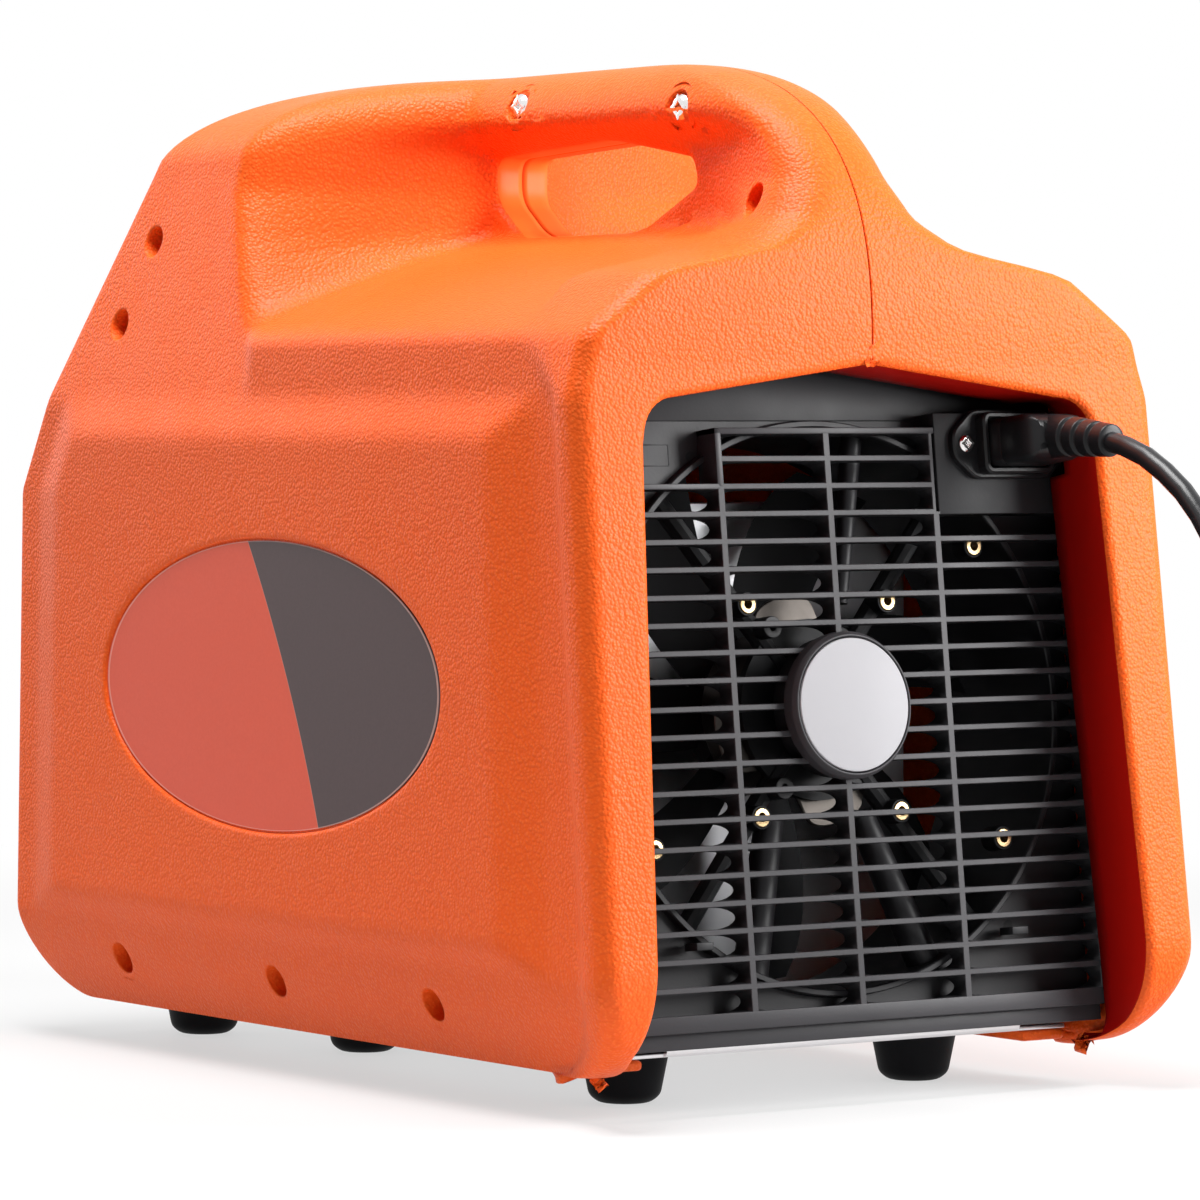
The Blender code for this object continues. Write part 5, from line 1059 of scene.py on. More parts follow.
def on_rear(points):
    """Points of the rear plane's own space in the space of the machine."""
    return points @ REAR_TURN.T + REAR_ORIGIN


def rear_frame(x, y, z):
    """A frame at a point of the rear plane whose own Z points out of the machine."""
    return basis(on_rear(np.array((x, y, z))), REAR_TURN @ np.array((0.0, 1.0, 0.0)),
                 REAR_TURN @ np.array((0.0, 0.0, 1.0)))


# Cord

def coil_path():
    """Rounds that lie beside and on each other, one diameter apart, then a short tail."""
    lanes = (COIL_RADIUS + CORD_DIAMETER, COIL_RADIUS, COIL_RADIUS - CORD_DIAMETER)
    half = CORD_DIAMETER / 2
    start = math.radians(COIL_MEETS_AT)
    t = np.linspace(0, COIL_ROUNDS + COIL_TAIL, COIL_ROUNDS * 40 + 15)
    lane = np.array([lanes[0], lanes[1], lanes[2], lanes[2], lanes[1], lanes[0], lanes[0]])
    level = np.array([0, 0, 0, 1, 1, 1, 1]) * CORD_DIAMETER
    step = np.floor(t).astype(int).clip(0, COIL_ROUNDS)
    into = ease((t - step - 0.80) / 0.20)
    radius = lane[step] * (1 - into) + lane[step + 1] * into
    height = level[step] * (1 - into) + level[step + 1] * into
    leave = ease((t - COIL_ROUNDS) / 0.34)
    out = COIL_RADIUS + 1.5 * CORD_DIAMETER + RELIEF_END + 0.0003
    radius = radius * (1 - leave) + out * leave
    drop = ease((t - COIL_ROUNDS - 0.14) / 0.20)
    height = height * (1 - drop) + (RELIEF_END - half) * drop
    angle = start + 2 * np.pi * t
    return np.stack([COIL_CENTRE[0] + radius * np.cos(angle),
                     COIL_CENTRE[1] + radius * np.sin(angle), half + CORD_LOW + height], axis=-1)


def build_cord():
    """From the plug's relief down to the floor on a smooth curve, then round the coil."""
    start = on_rear(np.array((INLET_X, PLUG_END + RELIEF_LENGTH - 0.004, INLET_UP - RELIEF_DROP
                              * (RELIEF_LENGTH - 0.004) / RELIEF_LENGTH)))
    coil = coil_path()
    free = smooth_route([tuple(start), *CORD_ROUTE, tuple(coil[0])], CORD_SPACING)
    path = np.concatenate([free[:-1], coil])
    curve = bpy.data.curves.new("power_cord", "CURVE")
    curve.dimensions = "3D"
    curve.bevel_depth = CORD_DIAMETER / 2
    curve.bevel_resolution = 4
    curve.use_fill_caps = True
    spline = curve.splines.new("POLY")
    spline.points.add(len(path) - 1)
    spline.points.foreach_set("co", np.column_stack([path, np.ones(len(path))]).ravel())
    curve.materials.append(FINISH["sheath"])
    cord = bpy.data.objects.new("mains_cord", curve)
    bpy.context.scene.collection.objects.link(cord)
    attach(cord, "case")
    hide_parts("power_cord", "cord_coil")


def build_wall_plug():
    """Round plug with a flat grip and two pins, lying on the floor beside the coil."""
    cx, cy = COIL_CENTRE
    x = cx - COIL_RADIUS - 1.5 * CORD_DIAMETER - RELIEF_END - 0.0003
    lean = math.radians(WALL_PLUG_TURN)
    along = np.array((-math.sin(lean), -math.cos(lean), 0.0))
    start = np.array((x, cy, RELIEF_END + CORD_LOW))
    back = np.array((x, cy, PLUG_HEIGHT + CORD_LOW)) + along * RELIEF_LENGTH
    s = np.linspace(0, 1, 110)[:, None]
    path = start + (back + along * 0.003 - start) * s + (0, 0, 0.0010) * np.sin(np.pi * s)
    size = 0.0050 + 0.0022 * s[:, 0]
    for place in (0.25, 0.45, 0.65):
        size = size - 0.0010 * np.exp(-((s[:, 0] - place) / 0.028) ** 4)
    form = Form().grid(closed_tube(path, size, 32), round_cols=True)
    where = basis(back, along)
    body = rounded_profile(((0.0, 0.0), (0.0120, 0.0), (0.0165, 0.006), (0.0152, 0.016),
                            (0.0185, 0.026), (0.0185, 0.036), (0.0, 0.036)), 0.003, 6)
    form.grid(turned(body, where, 72), round_cols=True)
    plug = form.make("wall_plug", [FINISH["black"], FINISH["chrome"]], smooth=45)
    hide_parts("mains_plug")
    pin = rounded_profile(((0.0, -0.002), (0.0024, -0.002), (0.0024, 0.0182), (0.0014, 0.019),
                           (0.0, 0.019)), 0.0006)
    pins = Form()
    across = np.array((along[1], -along[0], 0.0))
    for side in (-1, 1):
        place = back + along * 0.036 + across * side * 0.0095
        pins.grid(turned(pin, basis(place, along), 24), round_cols=True)
    pins = pins.make("wall_plug_pins", [FINISH["chrome"]])


def build_coil_tie():
    """A strap with round corners once round the coil's rounds."""
    cx, cy = COIL_CENTRE
    inner, outer = COIL_RADIUS - 1.5 * CORD_DIAMETER, COIL_RADIUS + 1.5 * CORD_DIAMETER
    low, high = CORD_LOW + 0.0001, CORD_LOW + 2 * CORD_DIAMETER
    middle = ((inner + outer) / 2, (low + high) / 2 + 0.0003)
    half = ((outer - inner) / 2 + 0.0006, (high - low) / 2 + 0.0002)
    rows = []
    for x, grow in ((-0.004, 0.0002), (-0.0036, 0.0010), (0.0036, 0.0010), (0.004, 0.0002)):
        ring = rounded_rectangle(half[0] + grow, half[1] + grow, 0.0038, 6)
        rows.append(np.column_stack([np.full(len(ring), cx + x), cy - middle[0] + ring[:, 0],
                                     np.maximum(middle[1] + ring[:, 1], 0.00005)]))
    for x in (0.004, -0.004):
        ring = rounded_rectangle(half[0] - 0.0002, half[1] - 0.0002, 0.0032, 6)
        rows.append(np.column_stack([np.full(len(ring), cx + x), cy - middle[0] + ring[:, 0],
                                     np.maximum(middle[1] + ring[:, 1], 0.0003)]))
    tie = Form().grid(np.stack(rows), True, True)
    tie.grid(box_points((cx - 0.005, cy - middle[0] - 0.004, high + 0.0002),
                        (cx + 0.005, cy - middle[0] + 0.004, high + 0.0015), 0.0004),
             round_cols=True)
    tie = tie.make("coil_tie", [FINISH["black"]])
    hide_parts("cord_tie")


# Rear: grille, duct, fan, inlet and plug

BAR_COUNT, BAR_PITCH, BAR_FIRST, BAR_THICKNESS = 22, 0.00928, 0.0934, 0.0019
RIB_SPACING, RIB_THICKNESS, GRILLE_SIDE = 0.045, 0.0026, 0.1045
GRILLE_DEPTH, PLATE_DEPTH, PLATE_BACK, ROUND_END = 0.0066, 0.0107, 0.0137, 0.0100
PLATE_HALF, PLATE_LOW, PLATE_TOP = 0.1055, -0.1115, 0.1172
BAND_HEIGHT = 0.098
HUB_RADIUS, HUB_PROUD, DISC_RADIUS = 0.025, 0.006, 0.0226
DUCT_RADIUS, DUCT_WALL, DUCT_LIP, DUCT_END = 0.0955, 0.0023, 0.0070, 0.0680
INSERTS = ((0.0295, 0.036), (-0.0295, 0.036), (-0.0295, -0.036), (0.0295, -0.036),
           (-0.0686, 0.0544), (-0.0729, -0.0470), (0.0740, -0.0450))
PLAIN_BOSSES = ((0.0209, 0.0279), (0.0203, -0.0265))
PLATE_HOLES = ((0.0493, 0.0859), (0.0663, 0.0725), (-0.0734, 0.0725), (0.0612, -0.0772),
               (-0.0722, -0.0771))


def box_points(low, high, radius=0.0003, steps=2):
    """A box with rounded edges between two corners."""
    low, high = np.array(low, float), np.array(high, float)
    where = np.eye(3), (low + high) / 2
    return block((high - low) / 2, where, radius, radius * 1.5, steps)


def rear_box(form, low, high, radius=0.0003, kind=0):
    """A box on the rear plane, added to a form."""
    form.grid(on_rear(box_points(low, high, radius)), round_cols=True, kind=kind)


def rear_turned(form, x, z, profile, steps=32, kind=0):
    """A turned piece on the rear plane: its profile's heights are own Y, out of the machine."""
    form.grid(turned(profile, rear_frame(x, 0.0, z), steps), round_cols=True, kind=kind)


def tile_edges():
    """Borders (x0, x1, z0, z1) of the grille's cells, from bar centre to bar centre."""
    across = (-GRILLE_SIDE, -RIB_SPACING, 0.0, RIB_SPACING, GRILLE_SIDE)
    tiles = []
    for row in range(BAR_COUNT - 1):
        high = BAR_FIRST - row * BAR_PITCH
        for column in range(4):
            if not ((column == 3 and row < 2) or (column == 0 and row < 3)):
                tiles.append((across[column], across[column + 1], high - BAR_PITCH, high))
    return np.array(tiles)


def square_run(along=18, up=6):
    """Points once round a square of half size one."""
    s, t = np.linspace(-1, 1, along + 1)[:-1], np.linspace(-1, 1, up + 1)[:-1]
    one, two = np.ones_like(s), np.ones_like(t)
    return np.concatenate([np.stack([s, -one], -1), np.stack([two, t], -1),
                           np.stack([-s, one], -1), np.stack([-two, -t], -1)])


def build_grille():
    """Each cell is a slot with square corners in front that narrows to round ends behind."""
    form = Form()
    run = square_run()
    tiles = tile_edges()
    centre = np.stack([tiles[:, :2].mean(1), tiles[:, 2:].mean(1)], -1)[:, None]
    tile = np.stack([np.ptp(tiles[:, :2], 1), np.ptp(tiles[:, 2:], 1)], -1)[:, None] / 2
    slot = tile - (RIB_THICKNESS / 2, BAR_THICKNESS / 2)
    flat_x = slot[..., 0] - ROUND_END
    p = np.clip((np.abs(run[:, 0]) * slot[..., 0] - flat_x) / ROUND_END, 0, 1)
    q = np.broadcast_to(run[:, 1], p.shape)
    along = np.where(p > 0, flat_x + ROUND_END * p * np.sqrt(1 - q * q / 2),
                     np.abs(run[:, 0]) * slot[..., 0])
    behind = np.stack([np.sign(run[:, 0]) * along,
                       slot[..., 1] * q * np.sqrt(1 - p * p / 2)], -1)
    front = run * slot
    rows = []
    for flat, depth in ((run * tile, 0.0), (run * (slot + 0.0002), 0.0), (front, 0.0002),
                        (front * 0.6 + behind * 0.4, 0.4 * GRILLE_DEPTH),
                        (front * 0.15 + behind * 0.85, 0.8 * GRILLE_DEPTH),
                        (behind, GRILLE_DEPTH), (run * tile, GRILLE_DEPTH)):
        flat = flat + centre
        rows.append(np.stack([flat[..., 0], np.full(flat.shape[:2], -depth), flat[..., 1]], -1))
    cells = np.stack(rows, axis=1)
    for cell in cells:
        form.grid(on_rear(cell[:3]), round_cols=True)
        # painted shade: the slot walls and backs take the darker moulding, the fronts the charcoal
        form.grid(on_rear(cell[2:]), round_cols=True, kind=1)
    edge = np.stack([cells[:, 0], np.roll(cells[:, 0], -1, axis=1)], axis=2).reshape(-1, 2, 3)
    middle = np.round(edge.mean(axis=1) * 1e6).astype(int)
    _, first, seen = np.unique(middle, axis=0, return_index=True, return_counts=True)
    rim = edge[first[seen == 1]]
    sunk = rim - (0.0, GRILLE_DEPTH, 0.0)
    strip = np.stack([rim[:, 0], rim[:, 1], sunk[:, 1], sunk[:, 0]], axis=1)
    form.add(on_rear(strip), np.arange(len(strip) * 4).reshape(-1, 4))
    half, thick = RIB_THICKNESS / 2, BAR_THICKNESS / 2
    proud, last = 0.00004, BAR_FIRST - (BAR_COUNT - 1) * BAR_PITCH
    inner = RIB_SPACING + half
    for low, high in (((-inner, -PLATE_DEPTH, BAR_FIRST - thick), (inner, proud, BAR_FIRST + 0.0012)),
                      ((RIB_SPACING - half, -PLATE_DEPTH, BAR_FIRST - 2 * BAR_PITCH),
                       (inner, proud, BAR_FIRST + 0.0012)),
                      ((RIB_SPACING, -GRILLE_DEPTH, BAR_FIRST - 2 * BAR_PITCH - thick),
                       (GRILLE_SIDE, proud, BAR_FIRST - 2 * BAR_PITCH + thick)),
                      ((-GRILLE_SIDE, -PLATE_DEPTH, last - 0.0048),
                       (GRILLE_SIDE, proud, last + thick)),
                      ((-GRILLE_SIDE, -0.0135, last - 0.0102),
                       (GRILLE_SIDE, -0.0030, last - 0.0044))):
        rear_box(form, low, high)
    # painted shade: the block beside and under the inlet is drawn in the darker moulding for the shadow
    # there
    rear_box(form, (-GRILLE_SIDE, -PLATE_DEPTH, BAR_FIRST - 3 * BAR_PITCH - thick),
             (-RIB_SPACING - half, proud, BAND_HEIGHT + 0.0015), kind=1)
    rear_turned(form, 0, 0, ((0.0, -0.0078), (HUB_RADIUS - 0.0012, -0.0078),
                             (HUB_RADIUS - 0.0012, 0.0), (0.0, 0.0)), 96, 1)
    rim_profile = rounded_profile([(0.0, -0.0004), (HUB_RADIUS, -0.0004), (HUB_RADIUS, 0.0040),
                                   (HUB_RADIUS - 0.0012, HUB_PROUD),
                                   (DISC_RADIUS + 0.0006, HUB_PROUD),
                                   (DISC_RADIUS + 0.0002, 0.0045), (0.0, 0.0045)], 0.0005)
    rear_turned(form, 0, 0, rim_profile, 96)
    # painted shade: dark boxes stand for the breaks in two of the lower bars
    for x, z in ((0.0640, -0.0779), (-0.0688, -0.0791)):
        rear_box(form, (x - 0.0035, -0.0070, z - 0.0014), (x + 0.0035, 0.0004, z + 0.0012), kind=1)
    grille = form.make("grille", [FINISH["charcoal"], FINISH["dark_and_painted_shade"]], smooth=30)
    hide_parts("rear_grille")
    disc = Form().grid(turned(rounded_profile([(0, 0.0042), (DISC_RADIUS, 0.0042),
                                               (DISC_RADIUS, 0.0062), (0, 0.0062)], 0.0004),
                              rear_frame(0, 0, 0), 96), round_cols=True)
    disc = disc.make("hub_disc", [FINISH["disc"]])
    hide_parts("grille_disc")


def build_duct():
    """Plate with a round opening, its raised lip, the duct behind it and what hangs in it."""
    form = Form()
    corners = [math.atan2(z, x) for x in (PLATE_HALF, -PLATE_HALF) for z in (PLATE_LOW, PLATE_TOP)]
    turn = np.unique(np.round(np.concatenate([np.linspace(-np.pi, np.pi, 121)[:-1], corners]), 6))
    along = np.stack([np.cos(turn), np.sin(turn)], -1)
    high = np.where(along[:, 1] > 0, PLATE_TOP, -PLATE_LOW)
    reach = np.minimum(PLATE_HALF / np.maximum(np.abs(along[:, 0]), 1e-9),
                       high / np.maximum(np.abs(along[:, 1]), 1e-9))
    outer, lip = DUCT_RADIUS + DUCT_WALL, 0.0004
    rows = [(reach, -PLATE_DEPTH), (outer + 0.0003, -PLATE_DEPTH), (outer, -PLATE_DEPTH + 0.0003),
            (outer, -DUCT_LIP - lip), (outer - lip, -DUCT_LIP), (DUCT_RADIUS + lip, -DUCT_LIP),
            (DUCT_RADIUS, -DUCT_LIP - lip), (DUCT_RADIUS, -0.030), (DUCT_RADIUS, -DUCT_END),
            (outer, -DUCT_END), (outer, -PLATE_BACK), (reach, -PLATE_BACK)]
    points = [np.stack([r * along[:, 0], np.full(len(turn), y), r * along[:, 1]], -1)
              for r, y in rows]
    form.grid(on_rear(np.stack(points)), True, True)
    rear_box(form, (-PLATE_HALF, -PLATE_DEPTH - 0.001, BAND_HEIGHT - 0.0001),
             (PLATE_HALF, -PLATE_DEPTH + 0.0007, PLATE_TOP), 0.0003)
    # painted shade: the plate's holes are dark discs on its face
    for x, z in PLATE_HOLES:
        rear_turned(form, x, z, ((0, -PLATE_DEPTH - 0.001), (0.0019, -PLATE_DEPTH - 0.001),
                                 (0.0019, -PLATE_DEPTH + 0.0001), (0, -PLATE_DEPTH + 0.0001)), 20, 1)
    for x, z, wide, tall in ((0.0634, 0.0900, 0.0052, 0.0002), (0.0634, 0.0829, 0.0052, 0.0002),
                             (0.0582, 0.0881, 0.0002, 0.0017), (0.0582, 0.0848, 0.0002, 0.0017),
                             (0.0686, 0.0881, 0.0002, 0.0017), (0.0686, 0.0848, 0.0002, 0.0017)):
        rear_box(form, (x - wide, -PLATE_DEPTH - 0.0005, z - tall),
                 (x + wide, -PLATE_DEPTH + 0.00006, z + tall), 0.00003, 1)
    for sx, sz in ((1, 1), (-1, 1), (-1, -1), (1, -1)):
        lean = math.atan2(sz * 0.036, sx * 0.0295)
        end = np.array((math.cos(lean), 0.0, math.sin(lean)))
        path = np.stack([end * r for r in np.linspace(0.020, DUCT_RADIUS + 0.001, 12)])
        path[:, 1] = -0.0185
        form.grid(on_rear(closed_tube(path, 0.0035, 10)), round_cols=True, kind=1)
    for start, stop, wide in (((0.0215, -0.036), (0.0350, -0.0930), 0.0058),
                              ((-0.0165, -0.036), (-0.0400, -0.0890), 0.0056),
                              ((-0.0140, 0.036), (-0.0240, 0.0940), 0.0034)):
        t = np.linspace(0, 1, 14)[:, None]
        flat = np.array(start) * (1 - t) + np.array(stop) * t
        path = np.column_stack([flat[:, 0], np.full(14, -0.0175), flat[:, 1]])
        form.grid(on_rear(closed_tube(path, wide * np.linspace(0.85, 1.1, 14), 20)),
                  round_cols=True)
    rear_turned(form, 0, 0, ((0, -0.0192), (0.031, -0.0192), (0.031, -0.0162), (0, -0.0162)), 48, 1)
    for x, z in INSERTS:
        rear_turned(form, x, z, rounded_profile(((0.0012, -0.0180), (0.0044, -0.0180),
                                                 (0.0041, -0.0108), (0.0033, -0.0108),
                                                 (0.0033, -0.0135)), 0.0004), 28, 1)
    for x, z in PLAIN_BOSSES:
        rear_turned(form, x, z, rounded_profile(((0.0011, -0.0180), (0.0038, -0.0180),
                                                 (0.0038, -0.0090), (0.0012, -0.0090),
                                                 (0.0011, -0.0150), (0.0011, -0.0180)), 0.0004), 28)
    duct = form.make("duct", [FINISH["plate"], FINISH["dark_and_painted_shade"]], smooth=35)
    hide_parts("fan_shroud")

    def knurl(turn, height):
        return 1 + 0.035 * np.cos(18 * turn) * (height < -0.00005) * (height > -0.0042)

    collar = rounded_profile(((0.0017, 0.0), (0.0031, 0.0), (0.0033, -0.0004), (0.0033, -0.0048),
                              (0.0017, -0.0048), (0.0017, 0.0)), 0.0002)
    for number, (x, z) in enumerate(INSERTS, 1):
        brass = Form().grid(turned(collar, rear_frame(x, -0.0104, z), 72, knurl), True, True)
        brass = brass.make(f"insert_{number}", [FINISH["brass"]])
        if number <= 4:
            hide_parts(f"threaded_insert_{number}")
    form = Form()
    turn = np.linspace(0, 2 * np.pi, 180, endpoint=False)
    lobes = 0.0345 + 0.0055 * np.tanh(2.5 * np.sin(4 * turn + 0.6))
    outline = np.stack([lobes * np.cos(turn), lobes * np.sin(turn)], -1)
    where = basis(on_rear(np.array((0.0, -0.0215, 0.0))), REAR_TURN @ (0.0, 1.0, 0.0))
    form.grid(lofted(outline, ((0.0, 0.0), (0.0012, 0.0), (0.0016, 0.0004)), where),
              round_cols=True)
    profile = rounded_profile(((0, -0.0196), (0.029, -0.0196), (0.029, -0.0436), (0, -0.0436)), 0.002)
    rear_turned(form, 0, 0, profile, 64)
    motor = form.make("fan_motor_case", [FINISH["taupe"]])
    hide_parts("fan_motor")


FAN_MIDDLE, FAN_HUB_RADIUS, FAN_TIP_RADIUS, FAN_BLADES = -0.0548, 0.022, 0.0905, 7


def build_fan():
    """Seven blades whose pitch falls and whose chord grows from the hub out to the tip."""
    form = Form()
    profile = rounded_profile(((0, -0.009), (FAN_HUB_RADIUS, -0.009), (FAN_HUB_RADIUS, 0.009),
                               (0, 0.009)), 0.0015)
    rear_turned(form, 0, 0, profile + (0, FAN_MIDDLE), 48)
    rear_turned(form, 0, 0, ((0, FAN_MIDDLE), (0.003, FAN_MIDDLE), (0.003, -0.031), (0, -0.031)), 16)
    s = np.linspace(0, 1, 16)[:, None]
    t = np.linspace(-1, 1, 13)[None, :]
    radius = FAN_HUB_RADIUS * 0.8 + (FAN_TIP_RADIUS - FAN_HUB_RADIUS * 0.8) * s
    chord = 0.012 + 0.007 * s - 0.005 * s ** 6
    pitch = np.radians(38 - 12 * s)
    sweep = 0.25 * s ** 2
    for number in range(FAN_BLADES):
        angle = number * 2 * np.pi / FAN_BLADES + sweep + t * chord * np.cos(pitch) / radius
        height = t * chord * np.sin(pitch) * 0.75 + 0.0025 * (t ** 2 - 0.3)
        sides = [np.stack(np.broadcast_arrays(radius * np.cos(angle),
                                              FAN_MIDDLE + height + lift * (1 - t ** 4),
                                              radius * np.sin(angle)), -1)
                 for lift in (0.0009, -0.0009)]
        skin = np.concatenate([sides[0], sides[1][:, ::-1]], axis=1)
        tip = skin[-1:, :].mean(axis=1, keepdims=True).repeat(skin.shape[1], axis=1)
        root = skin[:1, :].mean(axis=1, keepdims=True).repeat(skin.shape[1], axis=1)
        form.grid(on_rear(np.concatenate([root, skin, tip])), round_cols=True)
    fan = form.make("fan_blades", [FINISH["dark_and_painted_shade"]], body="fan_rotor")
    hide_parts("fan_rotor")


INLET_HALF = (0.0250, 0.0120)
INLET_BODY = (0.0150, 0.0107)
INLET_FACE, INLET_COLLAR, INLET_SCREWS = 0.0033, 0.0080, 0.020
PLUG_HALF = (0.0125, 0.0083)


def cross_screw(radius, head):
    """Profile rows of a round head with a cross sunk into it."""
    ring = rounded_profile(((0.0, head * 0.45), (radius * 0.2, head * 0.5), (radius * 0.32, head),
                            (radius * 0.72, head * 0.96), (radius, head * 0.45), (radius, 0.0),
                            (radius * 0.5, 0.0), (radius * 0.5, -0.004), (0.0, -0.004)), 0.0003)

    def cross(turn, height):
        inner = (ring[:, :1] < radius * 0.66) & (ring[:, :1] > 0) & (height > head * 0.4)
        return 1 + inner * 0.5 * np.abs(np.cos(2 * turn)) ** 10

    return ring, cross


def screw(name, where, radius, head, finish, node=None):
    """A round screw head on its frame, with its cross sunk in."""
    ring, cross = cross_screw(radius, head)
    item = Form().grid(turned(ring, where, 56, cross), round_cols=True).make(name, [finish])
    if node:
        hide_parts(node)


def build_inlet():
    """Flange with two ears and a collar, its two screws, and the plug with its ribbed relief."""
    form = Form()
    wide, tall = INLET_HALF
    body, high = INLET_BODY
    ear = 0.0042
    corners = np.array([(wide, -ear), (wide, ear), (body + 0.001, tall), (-body - 0.001, tall),
                        (-wide, ear), (-wide, -ear), (-body - 0.001, -tall), (body + 0.001, -tall)])
    outline = round_corners(corners, 0.0030, 7, 6)
    where = (np.stack([REAR_TURN @ v for v in ((-1., 0, 0), (0, 0, 1.), (0, 1., 0))], 1),
             on_rear(np.array((INLET_X, 0.0, INLET_UP))))
    form.grid(lofted(outline, ((0.0003, 0), (0.0027, 0), (INLET_FACE, 0.0006)), where), round_cols=True)
    outer = rounded_rectangle(body, high, 0.0032, 6)
    room = 0.0021
    loops = ((0.0003, 0.0), (INLET_COLLAR - 0.0007, 0.0), (INLET_COLLAR, 0.0007),
             (INLET_COLLAR, room - 0.0004), (INLET_COLLAR - 0.0004, room), (INLET_FACE, room))
    form.grid(lofted(outer, loops, where), round_cols=True)
    inlet = form.make("inlet_body", [FINISH["black"]], smooth=35)
    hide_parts("mains_inlet")
    for side, hand in ((1, "inner"), (-1, "outer")):
        place = rear_frame(INLET_X + side * INLET_SCREWS, INLET_FACE, INLET_UP)
        screw(f"inlet_screw_{hand}_head", place, 0.0030, 0.0017, FINISH["chrome"],
              f"inlet_screw_{hand}")
    form = Form()
    px, pz = PLUG_HALF
    grip = rounded_rectangle(px, pz, 0.0034, 6)
    stations = ((0.0040, 0.0), (0.0120, 0.0), (0.0128, 0.0004), (0.0136, 0.0),
                (0.0240, 0.0003), (0.0285, 0.0014), (0.0305, 0.0032), (0.0312, 0.0050))
    form.grid(lofted(grip, stations, where), round_cols=True)
    s = np.linspace(0, 1, 150)
    path = np.column_stack([np.zeros(150), 0.0270 + (PLUG_END + RELIEF_LENGTH - 0.0270) * s,
                            -RELIEF_DROP * s ** 1.2])
    radius = 0.0076 - 0.0020 * s
    for place in (0.34, 0.56, 0.78):
        radius = radius - 0.0012 * np.exp(-((s - place) / 0.028) ** 4)
    radius[-4:] *= (0.99, 0.95, 0.86, 0.72)
    path += (INLET_X, 0.0, INLET_UP)
    form.grid(on_rear(closed_tube(path, radius, 36)), round_cols=True)
    plug = form.make("cord_plug", [FINISH["black"]], smooth=45)
    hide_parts("power_plug")


# Screws, label, base and feet

def build_screws():
    """Screws on the floors of the recesses in the labelled side and the handle."""
    names = ("bottom_front", "bottom_middle", "bottom_rear", "hood_lower", "hood_upper", None)
    for name, (y, z, depth) in zip(names, CASE_SCREWS):
        place = basis((recess_floor(y, z, depth) + 0.0001, y, z), (1.0, 0.0, 0.0))
        screw(f"case_screw_{name or 'pillar'}_head", place, 0.0044, 0.0026, FINISH["chrome"],
              name and f"case_screw_{name}")
    for name, (y, z, depth) in zip(("front", "rear"), HANDLE_SCREWS):
        place = basis((recess_floor(y, z, depth) + 0.0001, y, z), (1.0, 0.0, 0.0))
        screw(f"handle_screw_{name}_head", place, 0.0046, 0.0030, FINISH["chrome"],
              f"handle_screw_{name}")


def build_label():
    """An oval film that follows the side, with a darker field divided off by a slanted line."""
    ring = np.array([0.0, 0.25, 0.5, 0.75, 0.92, 0.985, 1.0])[:, None]
    turn = np.linspace(0, 2 * np.pi, 160, endpoint=False)[None, :]
    y = LABEL_CENTRE[0] + (LABEL_HALF[0] - LABEL_MARGIN) * ring * np.cos(turn)
    z = LABEL_CENTRE[1] + (LABEL_HALF[1] - LABEL_MARGIN) * ring * np.sin(turn)
    x = outer_x(y, z) - LABEL_DEPTH
    top = np.stack([x + FILM_PROUD, y, z], -1)
    low = np.stack([x - FILM_SUNK, y, z], -1)
    film = Form().grid(np.concatenate([top, low[::-1]]), round_cols=True)
    finish = Finish("label_film", 0.42, 0.0, Specular_IOR_Level=0.25)
    axes = finish.axes()
    y, z = axes[1], axes[2]
    up = z - LABEL_CENTRE[1]
    bend = up * up * DIVISION_BEND
    slant = (DIVISION_TOP - z) * DIVISION_SLOPE
    side = (y - slant + DIVISION_SHIFT + bend).step(-0.0002, 0.0002)
    far = ((y - LABEL_CENTRE[0]) / LABEL_HALF[0]) ** 2 + (up / LABEL_HALF[1]) ** 2
    border = far.step(0.955, 0.962) * (1 - far.step(0.972, 0.979))
    speck = finish.noise(900.0)
    left = finish.mix(speck, (0.72, 0.088, 0.042), (0.78, 0.108, 0.054))
    right = finish.mix(speck, (0.066, 0.040, 0.041), (0.082, 0.050, 0.051))
    colour = finish.mix(side, left, right)
    edge = side * (1 - side) * 4
    colour = finish.mix(edge.step(0.1, 0.6) * 0.5, colour, (0.80, 0.42, 0.36))
    finish.set(Base_Color=finish.mix(border * 0.45, colour, (0.88, 0.52, 0.44)),
               Roughness=finish.noise(300.0) * 0.1 + 0.32)
    finish.bump(finish.noise(1200.0), 0.15, 0.00003)
    film = film.make("label_oval", [finish.material])
    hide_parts("label_plate")


BASE_LOW, BASE_TOP, BASE_HALF, BASE_FRONT, BASE_REAR = 0.0195, 0.0210, 0.096, -0.1765, 0.1595
LIP_HALF, LIP_TOP = 0.0745, 0.0260
FEET = {"rear": (0.0615, 0.116), "middle": (0.048, -0.070), "front": (0.064, -0.158)}


